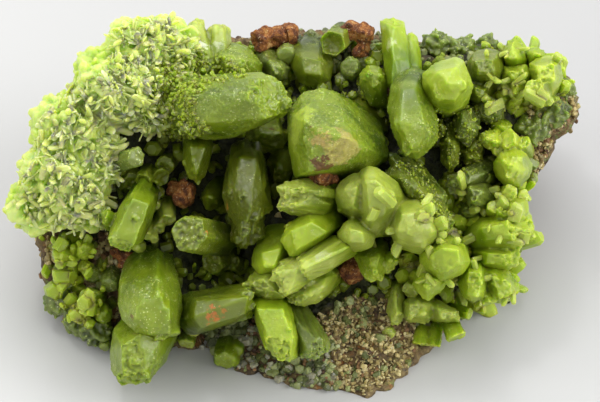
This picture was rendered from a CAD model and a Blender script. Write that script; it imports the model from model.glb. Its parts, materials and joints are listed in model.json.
import json
import math

import bmesh
import bpy
import numpy as np
from mathutils import Matrix, Vector
from mathutils.bvhtree import BVHTree

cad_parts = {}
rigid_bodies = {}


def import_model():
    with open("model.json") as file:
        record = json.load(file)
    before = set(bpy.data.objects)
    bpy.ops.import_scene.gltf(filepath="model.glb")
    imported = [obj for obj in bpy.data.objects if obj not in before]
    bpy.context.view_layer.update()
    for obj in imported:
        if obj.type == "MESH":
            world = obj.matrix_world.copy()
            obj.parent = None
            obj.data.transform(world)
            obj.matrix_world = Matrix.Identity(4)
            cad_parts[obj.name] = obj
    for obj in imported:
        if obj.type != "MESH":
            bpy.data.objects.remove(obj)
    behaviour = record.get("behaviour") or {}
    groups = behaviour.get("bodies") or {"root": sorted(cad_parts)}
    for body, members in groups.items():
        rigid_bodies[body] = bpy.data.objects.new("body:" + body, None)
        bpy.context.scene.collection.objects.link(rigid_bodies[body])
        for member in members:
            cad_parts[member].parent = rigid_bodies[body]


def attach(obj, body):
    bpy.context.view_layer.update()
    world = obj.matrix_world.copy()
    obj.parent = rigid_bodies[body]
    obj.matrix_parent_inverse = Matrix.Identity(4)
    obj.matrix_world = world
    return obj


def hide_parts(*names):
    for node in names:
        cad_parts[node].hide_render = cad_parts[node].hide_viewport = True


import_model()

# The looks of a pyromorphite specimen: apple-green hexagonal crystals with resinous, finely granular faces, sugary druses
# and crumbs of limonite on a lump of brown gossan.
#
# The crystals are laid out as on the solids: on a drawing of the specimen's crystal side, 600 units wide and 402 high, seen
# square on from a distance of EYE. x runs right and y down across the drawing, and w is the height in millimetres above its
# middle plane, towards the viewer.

UNIT = 0.0000875
EYE = 0.42
TILT = math.radians(48.0)
FACE_Z = 0.0144
CENTRE = np.array((0.00034, -0.00566, 0.0))
RIGHT = np.array((1.0, 0.0, 0.0))
UP = np.array((0.0, math.sin(TILT), math.cos(TILT)))
OUT = np.array((0.0, -math.cos(TILT), math.sin(TILT)))
MM = 0.001

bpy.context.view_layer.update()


def at(x, y, w):
    near = 1.0 - w * MM / EYE
    u, v = (x - 300.0) * UNIT * near, (201.0 - y) * UNIT * near
    return CENTRE + RIGHT * u + UP * v + OUT * (w * MM) + np.array((0.0, 0.0, FACE_Z))


# ---- the crystals ---------------------------------------------------------------------------------------------------
# A crystal is either a six-sided prism or the faceted body that a few corners span.
# Prism: (foot x, y, w, tip x, y, w, foot radius, tip radius, turn, breadth, share of the length that bevels in, end radius over
# tip radius, slant of the end face). Breadth is the size across the drawing over the size towards the viewer.
# Faceted body: ((foot x, y, w, foot radius), (tip x, y, w), then the corners x, y, w of its face towards the viewer).
CRYSTALS = {
    "crystal_upper_left_large": [
        ((176, 104, -5.0, 26), (270, 96, 0.5), (186, 76, -3.0), (250, 75, -0.6), (262, 72, -1.2), (275, 81, -0.6), (287, 92, -0.4), (287, 113, -0.8), (266, 118, 2.6), (247, 98, 3.4), (250, 79, 1.8), (192, 96, 1.4), (196, 124, 1.6), (204, 140, -2.0), (234, 138, -0.6)),
    ],
    "crystal_centre_large": [
        ((338, 140, -8.5, 42), (328, 134, 5.5), (303, 92, -1.8), (320, 88, -1.4), (335, 92, -1.6), (352, 106, -1.8), (386, 141, -2.6), (390, 157, -3.0), (378, 168, -2.8), (352, 170, 0.6), (336, 172, 1.8), (304, 121, 3.8), (321, 131, 5.4), (350, 139, 5.2), (367, 148, 3.2), (309, 172, 4.0), (341, 163, 4.4), (287, 112, -1.2), (288, 150, -0.6), (294, 178, 0.0), (362, 162, 1.6)),
    ],
    "crystal_centre_left": [
        ((246, 150, -6.0, 15), (248, 220, 0.0), (229, 160, -2.0), (262, 158, -2.2), (240, 158, 0.9), (256, 158, 0.9), (222, 194, -1.4), (228, 216, -0.8), (242, 238, 0.4), (234, 190, 2.0), (251, 206, 3.2), (263, 186, 1.4), (273, 209, -0.6), (263, 214, 0.3)),
        ((248, 206, -3.5, 12), (250, 244, -1.5), (264, 214, -1.8), (265, 236, -1.8), (242, 248, -1.6), (230, 243, -2.2), (233, 228, -2.0), (245, 232, 0.1), (258, 228, 0.2)),
    ],
    "crystal_hexagonal_end": [
        (222, 239, -5.5, 189, 233, 2.3, 21, 21, 0, 1.0, 0.03, 0.94, 0.1),
    ],
    "crystal_tabular_left": [
        ((146, 190, -6.0, 13), (122, 244, 0.6), (136, 190, -2.2), (150, 196, -2.6), (156, 206, -2.4), (149, 228, -1.4), (141, 243, -0.8), (133, 198, 1.4), (149, 204, 1.6), (134, 245, 2.0), (112, 240, 1.8), (124, 250, 0.8), (119, 207, -1.4), (109, 234, -0.6)),
        (128, 224, -3.5, 104, 217, -0.6, 8, 8, 0, 1.0, 0.06, 0.85, 0.9),
        (110, 228, -3.5, 106, 212, -0.9, 6, 6, 20, 1.0, 0.06, 0.85, 0.6),
    ],
    "crystal_lower_left_barrel": [
        ((150, 266, -7.5, 24), (150, 330, 0.6), (135, 262, -3.0), (150, 258, -3.2), (167, 265, -3.0), (179, 283, -2.4), (183, 306, -1.4), (180, 322, -0.8), (119, 284, -2.2), (118, 304, -1.2), (122, 319, -0.4), (136, 284, 1.0), (162, 282, 1.2), (141, 300, 2.8), (160, 300, 3.0), (134, 318, 3.0), (170, 316, 3.2), (150, 335, 2.6), (170, 334, 1.8), (136, 333, 1.0)),
        (168, 308, -3.0, 173, 336, 0.4, 10, 9, 10, 1.0, 0.05, 0.9, 1.1),
        (158, 310, -3.0, 159, 341, 0.8, 9, 8, 25, 1.0, 0.05, 0.9, 1.1),
    ],
    "crystal_lower_left_foot": [
        ((150, 326, -6.6, 24), (138, 376, 0.0), (114, 330, -2.8), (110, 352, -2.2), (111, 371, -1.8), (120, 382, -0.8), (137, 384, -0.2), (150, 379, -0.8), (165, 363, -2.4), (177, 336, -3.2), (121, 345, 1.6), (122, 376, 1.8), (141, 334, 1.6), (160, 340, 0.8), (145, 374, 1.8), (158, 362, 0.6)),
    ],
    "crystal_lower_prism": [
        ((190, 314, -5.0, 20), (250, 301, 0.4), (186, 301, -1.8), (191, 292, -2.4), (246, 283, -2.0), (255, 302, -1.2), (252, 314, -1.8), (238, 321, -1.6), (197, 334, -2.0), (187, 327, -1.6), (184, 312, -1.4), (194, 317, 1.7), (248, 297, 2.6), (196, 300, 0.9), (246, 314, 1.2), (201, 328, 1.0)),
    ],
    "crystal_bottom_smooth": [
        ((268, 298, -5.2, 16), (284, 354, 0.8), (253, 300, -1.6), (270, 297, -2.2), (288, 299, -2.4), (297, 318, -1.6), (302, 338, -1.6), (299, 356, -1.2), (290, 362, -0.2), (278, 360, 0.0), (265, 347, -0.6), (256, 323, -1.2), (257, 309, 1.3), (283, 309, 1.6), (294, 338, 2.4), (290, 356, 2.2), (268, 338, 2.2), (276, 354, 1.8)),
    ],
    "crystal_bottom_striated": [
        ((292, 302, -5.5, 10), (316, 350, -0.8), (290, 300, -3.6), (301, 308, -3.4), (318, 322, -2.2), (330, 342, -1.8), (329, 352, -1.8), (313, 360, -1.2), (300, 358, -0.8), (296, 322, -0.2), (317, 338, 0.4), (306, 352, 0.8)),
    ],
    "crystals_lath_group": [
        ((350, 246, -1.6, 10), (303, 269, 2.2), (299, 257, 0.8), (318, 243, 0.6), (333, 235, 0.2), (345, 240, 0.0), (353, 251, -0.6), (348, 258, 0.0), (325, 274, 1.0), (308, 281, 1.4), (304, 268, 3.4), (347, 247, 2.8), (298, 262, 2.4)),
        ((312, 264, -2.2, 11), (278, 283, 1.2), (271, 272, 0.8), (280, 264, 0.5), (295, 257, 0.2), (309, 266, 0.0), (310, 281, 0.2), (297, 291, 0.8), (284, 297, 1.0), (276, 272, 2.2), (288, 294, 2.4), (300, 268, 2.4)),
        ((280, 276, -3.8, 12), (256, 286, 0.2), (243, 284, -1.2), (252, 273, -1.6), (268, 267, -0.8), (276, 276, 0.2), (284, 298, -0.4), (268, 301, -0.8), (252, 294, -1.0), (262, 281, 1.0), (273, 290, 1.0)),
        ((330, 276, -5.0, 12), (302, 298, -0.8), (286, 296, -1.6), (310, 280, -0.6), (330, 267, -1.6), (337, 275, -2.2), (329, 294, -2.0), (318, 303, -1.6), (300, 307, -1.2), (288, 303, -1.4), (305, 296, 0.6), (323, 287, 0.2)),
    ],
    "crystal_centre_slanted": [
        ((334, 214, -5.0, 14), (290, 244, 1.2), (279, 241, 0.6), (285, 230, 0.2), (294, 221, 0.0), (307, 211, -0.2), (330, 211, -1.2), (339, 228, -1.2), (322, 243, -0.2), (300, 257, 0.4), (289, 256, 0.8), (290, 232, 2.4), (297, 250, 2.6), (312, 222, 2.6), (326, 232, 2.2)),
    ],
    "crystals_centre_star": [
        ((332, 196, -3.5, 13), (280, 192, 1.6), (275, 187, 1.4), (293, 180, 0.6), (312, 177, 0.0), (330, 184, -0.6), (335, 204, -0.6), (310, 207, 0.4), (281, 200, 1.4), (300, 189, 2.9), (322, 192, 2.4)),
        ((328, 206, -3.5, 11), (282, 206, 1.0), (274, 207, 1.4), (279, 200, 1.4), (310, 196, 2.2), (331, 204, 1.0), (322, 219, -0.4), (303, 217, 0.0), (290, 213, 0.4), (298, 205, 2.6)),
    ],
    "crystal_smooth_left_of_centre": [
        ((278, 238, -6.0, 16), (266, 266, -0.4), (252, 252, -2.0), (258, 243, -2.4), (272, 236, -2.8), (286, 238, -3.0), (291, 250, -2.0), (281, 268, -1.2), (270, 277, -1.2), (258, 276, -1.2), (251, 265, -1.4), (262, 253, 0.9), (281, 248, 0.8), (264, 267, 1.5), (274, 266, 1.5)),
    ],
    "crystals_centre_cluster": [
        ((388, 216, -6.0, 20), (378, 192, 4.4), (360, 170, 1.4), (368, 165, 1.6), (378, 168, 1.8), (385, 178, 1.8), (398, 182, 1.0), (405, 196, 0.6), (399, 213, 0.2), (387, 225, 0.2), (375, 237, -0.4), (364, 227, 0.6), (359, 206, 1.4), (365, 181, 4.2), (377, 182, 4.6), (391, 196, 4.6), (385, 213, 3.8), (370, 214, 4.0)),
        ((366, 214, -6.0, 14), (348, 196, 3.0), (335, 188, 0.6), (342, 179, 0.8), (352, 173, 1.0), (363, 172, 1.2), (363, 216, 0.6), (352, 218, 0.0), (338, 209, 0.0), (334, 198, 0.4), (345, 189, 3.0), (358, 187, 3.4), (353, 206, 3.0)),
        ((412, 214, -6.0, 24), (414, 226, 5.0), (393, 206, 0.2), (402, 200, 0.4), (418, 197, 0.6), (430, 206, 0.6), (441, 229, 0.0), (438, 243, 0.0), (420, 255, 0.0), (396, 248, 0.0), (388, 226, 0.0), (402, 214, 4.0), (424, 211, 4.6), (433, 230, 4.2), (410, 232, 5.2), (398, 231, 4.4), (424, 248, 2.4), (401, 243, 2.2)),
        ((360, 228, -5.0, 12), (355, 237, 4.2), (343, 223, 0.8), (350, 219, 1.0), (358, 221, 1.0), (367, 228, 1.0), (376, 237, 0.6), (373, 247, 0.2), (362, 252, 0.0), (350, 251, 0.0), (340, 246, 0.2), (336, 235, 0.6), (350, 229, 3.6), (362, 232, 3.8), (364, 243, 3.2), (350, 241, 3.4)),
    ],
    "crystal_upper_right_barrel": [
        ((414, 80, -7.0, 16), (412, 150, 0.6), (402, 76, -2.4), (409, 70, -2.6), (420, 73, -2.6), (428, 92, -1.8), (438, 124, -1.4), (438, 140, -1.2), (428, 152, -1.0), (416, 161, -0.8), (404, 156, -0.8), (394, 136, -1.2), (387, 108, -1.6), (391, 86, -2.0), (402, 90, 1.2), (416, 88, 1.0), (400, 126, 3.0), (425, 124, 2.6), (412, 149, 2.6), (402, 148, 1.2), (427, 143, 1.4), (395, 110, 1.2)),
    ],
    "crystal_upper_right_fat": [
        ((447, 98, -8.0, 20), (448, 80, 1.8), (422, 73, -1.6), (435, 62, -1.8), (455, 56, -2.0), (464, 60, -1.8), (468, 76, -1.2), (474, 87, -1.4), (468, 98, -1.8), (461, 108, -2.2), (450, 113, -2.2), (438, 110, -2.0), (428, 102, -1.8), (422, 88, -1.4), (437, 72, 1.6), (457, 67, 1.4), (464, 84, 1.6), (455, 100, 1.2), (438, 98, 1.4), (429, 84, 0.8), (447, 82, 2.6)),
    ],
    "crystals_top_tall_pair": [
        ((402, 86, -5.6, 12), (393, 22, -8.3), (379, 21, -8.6), (386, 18, -8.8), (404, 20, -9.0), (409, 48, -8.2), (414, 76, -7.2), (381, 50, -7.6), (386, 84, -6.2), (388, 23, -7.2), (393, 26, -6.9), (405, 27, -7.4), (393, 60, -4.7), (408, 59, -5.3), (392, 82, -4.4), (408, 82, -5.0)),
        ((414, 80, -6.6, 8), (414, 36, -8.4), (407, 34, -9.0), (412, 31, -9.2), (417, 37, -9.0), (421, 50, -8.4), (421, 64, -7.6), (408, 64, -7.6), (411, 40, -7.8), (415, 42, -7.8), (412, 62, -6.2), (417, 62, -6.4)),
    ],
    "crystals_olive_upper_right": [
        ((490, 88, -11.0, 15), (486, 62, -4.6), (466, 62, -7.0), (474, 51, -7.6), (489, 47, -8.0), (501, 51, -7.6), (504, 66, -7.0), (501, 79, -7.0), (490, 86, -7.2), (470, 80, -7.0), (476, 62, -4.2), (492, 60, -4.2), (494, 72, -4.0), (478, 74, -4.0)),
        ((486, 92, -10.0, 11), (480, 100, -5.0), (468, 82, -7.0), (492, 84, -7.0), (490, 98, -7.0), (480, 106, -7.0), (469, 100, -7.0), (476, 88, -4.6), (485, 90, -4.6), (479, 99, -4.8)),
    ],
    "crystals_pointed_upper_right": [
        ((516, 66, -9.5, 10), (515, 38, -7.6), (503, 48, -8.6), (509, 41, -8.8), (516, 35, -9.0), (521, 40, -8.8), (524, 50, -8.4), (527, 60, -8.0), (519, 66, -7.6), (505, 64, -7.6), (500, 55, -8.2), (512, 44, -7.0), (517, 58, -5.6), (508, 58, -5.8)),
    ],
    "crystals_bright_right": [
        ((545, 84, -11.0, 16), (546, 74, -4.0), (529, 64, -6.8), (538, 57, -7.2), (550, 55, -7.4), (560, 61, -7.2), (563, 75, -6.8), (560, 84, -6.8), (552, 96, -7.0), (544, 97, -7.0), (532, 84, -6.6), (536, 68, -4.2), (553, 66, -4.4), (554, 82, -4.0), (541, 82, -3.8)),
        (560, 82, -9.0, 557, 53, -7.6, 5, 4, 0, 1.0, 0.06, 0.8, 0.8),
        (546, 98, -9.0, 533, 89, -3.6, 12, 11, 10, 1.0, 0.05, 0.9, 0.1),
        ((540, 98, -9.5, 9), (538, 104, -5.0), (524, 92, -7.0), (548, 92, -7.0), (550, 100, -7.0), (543, 108, -7.2), (530, 104, -7.0), (530, 96, -4.8), (542, 96, -4.6), (541, 103, -5.0)),
        (530, 90, -9.0, 512, 86, -5.9, 11, 10, 0, 1.0, 0.05, 0.85, 1.0),
    ],
    "crystals_right_knob": [
        ((514, 172, -9.5, 14), (512, 168, -1.6), (493, 163, -4.8), (500, 152, -5.0), (515, 148, -5.2), (526, 153, -5.2), (533, 164, -5.2), (530, 176, -5.0), (520, 187, -5.0), (506, 187, -5.0), (495, 176, -5.0), (502, 160, -2.4), (520, 158, -2.6), (524, 172, -2.4), (508, 178, -2.0), (513, 168, -1.4)),
        ((504, 140, -9.5, 9), (486, 141, -4.2), (478, 142, -5.6), (482, 132, -6.0), (498, 128, -6.4), (504, 140, -6.0), (498, 152, -5.8), (488, 150, -5.6), (486, 138, -3.6), (497, 142, -3.8)),
        (518, 148, -9.5, 507, 138, -4.6, 11, 11, 0, 1.0, 0.06, 0.9, 0.9),
        (528, 152, -9.5, 523, 142, -5.7, 8, 8, 10, 1.0, 0.06, 0.9, 0.9),
    ],
    "crystals_grey_right_of_fat": [
        ((466, 108, -9.0, 10), (464, 142, -4.2), (454, 110, -6.2), (462, 105, -6.6), (474, 108, -6.6), (480, 122, -6.0), (478, 136, -5.6), (470, 146, -5.4), (458, 140, -5.4), (453, 124, -5.6), (462, 114, -3.8), (470, 128, -3.2), (460, 132, -3.4)),
        (492, 112, -10.0, 489, 110, -5.8, 17, 14, 0, 1.0, 0.2, 0.7, 0.4),
    ],
    "crystal_grey_lath_right": [
        ((488, 168, -8.5, 12), (452, 184, -3.4), (445, 185, -4.0), (449, 178, -4.2), (463, 168, -5.0), (482, 161, -5.6), (491, 170, -5.8), (486, 184, -5.0), (468, 192, -4.6), (453, 192, -4.2), (452, 182, -2.6), (470, 174, -2.8), (484, 174, -3.4), (468, 184, -2.6)),
    ],
    "crystals_ribbed_right": [
        ((496, 206, -8.0, 12), (470, 193, -3.0), (463, 188, -4.0), (470, 180, -4.4), (488, 182, -5.0), (494, 196, -5.0), (484, 206, -4.6), (468, 204, -4.2), (470, 188, -2.4), (482, 192, -2.4), (474, 199, -2.2)),
        ((480, 206, -8.0, 12), (466, 216, -5.0), (459, 202, -6.0), (476, 204, -6.0), (482, 216, -6.0), (470, 226, -6.2), (459, 220, -6.2), (464, 208, -4.4), (474, 212, -4.2)),
    ],
    "crystals_dark_right_of_barrel": [
        ((450, 124, -9.0, 10), (448, 166, -4.6), (440, 140, -6.0), (446, 122, -6.4), (456, 124, -6.4), (460, 146, -5.6), (459, 164, -5.2), (450, 174, -5.2), (442, 164, -5.4), (447, 140, -3.8), (454, 150, -3.4), (449, 164, -3.6)),
        ((474, 146, -9.0, 11), (470, 164, -5.4), (462, 150, -6.4), (476, 146, -6.6), (484, 156, -6.4), (478, 166, -6.2), (466, 166, -6.2), (469, 156, -4.8), (477, 158, -4.8)),
    ],
    "crystal_granular_slab": [
        ((402, 166, -6.0, 12), (442, 226, 0.2), (383, 175, -1.4), (396, 161, -2.2), (413, 164, -2.4), (432, 180, -2.0), (446, 200, -1.6), (451, 226, -1.4), (446, 241, -1.2), (436, 239, -0.2), (402, 178, 1.2), (424, 196, 2.0), (439, 215, 1.6)),
    ],
    "crystals_right_edge_large": [
        ((474, 234, -7.0, 14), (524, 230, -2.8), (465, 238, -5.2), (470, 224, -5.2), (480, 216, -5.2), (506, 216, -5.0), (530, 220, -4.6), (535, 229, -4.4), (528, 241, -4.4), (516, 250, -4.4), (490, 251, -4.8), (472, 247, -5.0), (482, 228, -2.2), (508, 224, -1.8), (526, 230, -2.4), (512, 238, -1.8), (486, 240, -2.4)),
        ((500, 218, -7.0, 14), (510, 206, -3.6), (486, 204, -5.6), (498, 194, -6.0), (514, 194, -6.2), (528, 200, -6.0), (530, 212, -5.6), (524, 222, -5.0), (496, 224, -4.6), (488, 216, -5.0), (500, 204, -3.2), (514, 206, -3.0), (516, 216, -2.8), (498, 214, -2.8)),
        ((480, 256, -7.5, 12), (512, 258, -3.4), (472, 250, -5.4), (490, 245, -5.4), (512, 246, -5.2), (521, 254, -5.0), (519, 263, -5.0), (508, 271, -5.2), (492, 272, -5.4), (476, 266, -5.6), (488, 254, -2.6), (508, 254, -2.8), (506, 264, -3.0), (486, 264, -3.2)),
    ],
    "crystals_lower_right_corner": [
        ((484, 268, -7.5, 13), (506, 290, -3.0), (480, 268, -5.2), (494, 264, -5.4), (508, 270, -5.4), (517, 282, -5.0), (520, 291, -4.8), (513, 300, -4.6), (500, 305, -4.4), (488, 299, -4.6), (492, 276, -2.8), (508, 284, -2.6), (512, 294, -2.8), (500, 296, -2.4)),
        (484, 284, -6.5, 490, 304, -3.2, 9, 8, 0, 1.0, 0.06, 0.88, 1.3),
        ((474, 266, -7.0, 12), (472, 292, -1.6), (462, 270, -4.4), (474, 261, -4.6), (486, 268, -4.6), (488, 284, -4.0), (485, 299, -3.4), (474, 303, -3.2), (463, 298, -3.4), (457, 284, -4.0), (468, 272, -1.6), (480, 272, -1.6), (480, 294, -1.0), (468, 294, -1.2)),
    ],
    "crystal_right_of_centre_low": [
        ((448, 256, -6.0, 20), (446, 262, 3.8), (419, 262, -0.6), (419, 250, -0.4), (430, 243, -0.2), (443, 239, 0.0), (456, 240, 0.0), (466, 249, 0.0), (471, 262, -0.4), (463, 274, -0.8), (450, 280, -1.0), (438, 282, -1.0), (425, 273, -0.8), (430, 256, 2.4), (442, 248, 3.4), (458, 250, 3.4), (460, 264, 3.2), (446, 272, 2.8), (433, 268, 2.2)),
    ],
    "crystal_lower_right_slanted": [
        ((436, 266, -6.5, 14), (426, 288, -0.8), (412, 284, -2.2), (420, 264, -2.4), (434, 266, -2.2), (447, 281, -2.2), (441, 291, -2.0), (428, 300, -1.8), (417, 292, -2.0), (423, 276, 0.3), (436, 281, 0.5), (427, 291, 0.6)),
    ],
    "crystals_lower_right_yellow": [
        ((434, 312, -8.5, 9), (454, 314, -3.6), (430, 304, -5.0), (438, 299, -5.2), (448, 307, -5.0), (459, 311, -4.6), (460, 320, -4.6), (450, 323, -4.8), (436, 321, -5.0), (438, 308, -3.0), (452, 313, -2.8), (440, 317, -3.0)),
        ((420, 304, -9.0, 13), (418, 316, -3.4), (402, 302, -5.2), (411, 295, -5.4), (430, 297, -5.4), (438, 306, -5.2), (434, 318, -5.2), (424, 323, -5.2), (408, 323, -5.4), (401, 314, -5.4), (410, 304, -3.2), (426, 304, -3.2), (424, 316, -3.0), (410, 315, -3.2)),
    ],
    "crystal_lower_right_leaf": [
        ((398, 284, -8.5, 8), (397, 320, -4.2), (391, 283, -6.0), (401, 280, -6.0), (404, 298, -5.4), (404, 316, -5.0), (398, 327, -4.8), (392, 323, -5.0), (386, 312, -5.2), (389, 296, -5.6), (395, 292, -4.0), (398, 312, -3.4), (393, 312, -3.6)),
    ],
    "crystals_lower_right_teeth": [
        (446, 314, -8.6, 457, 338, -4.2, 10, 10, 0, 1.2, 0.04, 0.92, 1.3),
        (450, 308, -8.6, 470, 314, -5.0, 8, 7, 0, 1.0, 0.06, 0.85, 1.2),
        (437, 318, -9.0, 434, 347, -5.8, 8, 7, 0, 1.2, 0.04, 0.9, 1.3),
        (424, 318, -9.0, 419, 345, -6.0, 9, 8, 10, 1.2, 0.04, 0.9, 1.3),
    ],
    "crystals_below_frosted": [
        ((376, 246, -8.0, 13), (374, 274, -1.2), (352, 253, -3.8), (365, 246, -3.6), (384, 244, -4.0), (388, 262, -2.6), (382, 279, -2.0), (371, 283, -2.0), (363, 276, -2.0), (362, 264, -2.6), (370, 258, -0.6), (380, 256, -0.8), (375, 272, -0.2)),
        ((384, 260, -6.0, 7), (395, 261, -1.8), (384, 254, -2.8), (393, 251, -2.4), (400, 261, -2.2), (389, 273, -2.6), (381, 268, -2.4), (390, 260, -1.0)),
    ],
    "crystal_back_grey_barrel": [
        ((310, 52, -12.0, 18), (312, 70, -5.6), (291, 50, -8.6), (301, 43, -9.0), (318, 43, -9.0), (329, 54, -8.6), (335, 66, -8.2), (332, 80, -7.8), (320, 87, -7.4), (305, 86, -7.4), (295, 76, -7.8), (290, 64, -8.2), (302, 58, -6.0), (320, 60, -5.8), (322, 76, -5.4), (306, 74, -5.4)),
    ],
    "crystal_back_grey_prism": [
        ((262, 52, -12.0, 12), (278, 72, -6.0), (258, 62, -8.4), (268, 54, -8.8), (284, 58, -8.6), (291, 68, -8.2), (288, 79, -7.8), (276, 82, -7.6), (266, 76, -7.8), (270, 62, -6.0), (281, 68, -5.6), (276, 74, -5.6)),
    ],
    "crystal_hollow": [
        (344, 34, -11.0, 332, 44, -6.0, 16, 15, 0, 1.0, 0.08, 0.84, 0.1),
    ],
    "crystal_frosted_end_top": [
        ((388, 100, -9.0, 11), (372, 78, -4.4), (359, 73, -6.0), (367, 65, -6.4), (379, 66, -6.4), (386, 76, -6.4), (389, 92, -6.6), (386, 106, -6.6), (370, 106, -6.2), (367, 92, -5.6), (359, 85, -5.8), (367, 73, -3.8), (378, 74, -4.0), (378, 88, -4.2)),
    ],
    "crystal_behind_centre": [
        ((374, 128, -9.5, 14), (354, 104, -6.0), (338, 96, -7.6), (350, 92, -7.8), (366, 98, -7.8), (384, 116, -8.0), (388, 132, -8.0), (372, 132, -7.8), (350, 110, -5.6), (366, 112, -5.6), (376, 126, -6.0)),
    ],
    "crystal_shadowed_middle": [
        ((284, 150, -10.5, 12), (278, 178, -7.0), (268, 162, -8.0), (276, 150, -8.4), (292, 152, -8.4), (294, 170, -7.8), (286, 184, -7.6), (272, 180, -7.8), (278, 164, -6.4), (286, 172, -6.4)),
    ],
    "crystals_left_rim_green": [
        (70, 240, -9.0, 60, 262, -5.0, 14, 13, 0, 1.0, 0.2, 0.6, 0.9),
        (80, 244, -8.5, 87, 252, -5.0, 12, 11, 15, 1.0, 0.1, 0.7, 0.8),
    ],
    "crystals_left_flank_knobs": [
        (96, 300, -9.5, 88, 300, -4.0, 15, 13, 0, 1.0, 0.2, 0.6, 0.4),
        (98, 308, -9.0, 106, 317, -5.0, 12, 10, 0, 1.0, 0.15, 0.7, 0.5),
        (92, 308, -9.0, 78, 318, -6.5, 12, 10, 10, 1.0, 0.1, 0.7, 0.6),
    ],
    "crystals_olive_hollow": [
        (150, 168, -8.0, 143, 181, -3.0, 10, 10, 0, 1.0, 0.1, 0.8, 0.6),
        (154, 172, -8.0, 162, 177, -4.2, 11, 10, 0, 1.0, 0.08, 0.85, 0.5),
    ],
    "crystal_sparkling_end": [
        (106, 166, -6.0, 137, 157, -0.6, 11, 11, 0, 1.0, 0.04, 0.9, 0.0),
    ],
    "crystal_hanging_left": [
        ((198, 134, -6.5, 14), (194, 174, -1.6), (183, 140, -4.0), (213, 142, -4.0), (211, 158, -3.2), (205, 176, -2.8), (198, 183, -2.6), (188, 179, -2.8), (183, 164, -3.2), (190, 146, -1.4), (205, 148, -1.4), (196, 172, -0.6)),
    ],
    "crystal_dark_middle": [
        ((222, 186, -9.5, 11), (208, 204, -4.6), (200, 198, -6.4), (206, 186, -6.8), (220, 184, -7.0), (224, 196, -6.6), (218, 208, -6.2), (206, 210, -6.2), (208, 196, -4.4), (216, 198, -4.4)),
    ],
    "crystals_top_left_pair": [
        ((206, 72, -5.4, 11), (196, 24, -7.9), (184, 29, -8.2), (192, 20, -8.6), (202, 20, -8.6), (209, 40, -7.8), (214, 58, -7.0), (190, 62, -6.4), (185, 45, -7.4), (193, 24, -7.0), (201, 24, -7.2), (203, 58, -4.8), (212, 57, -5.2), (205, 74, -4.6)),
        ((218, 72, -6.0, 11), (219, 28, -8.3), (207, 30, -8.8), (213, 24, -9.0), (226, 24, -9.0), (231, 36, -8.6), (233, 58, -7.4), (209, 60, -7.0), (214, 29, -7.5), (224, 29, -7.5), (216, 60, -5.2), (227, 60, -5.4)),
    ],
}

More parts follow.
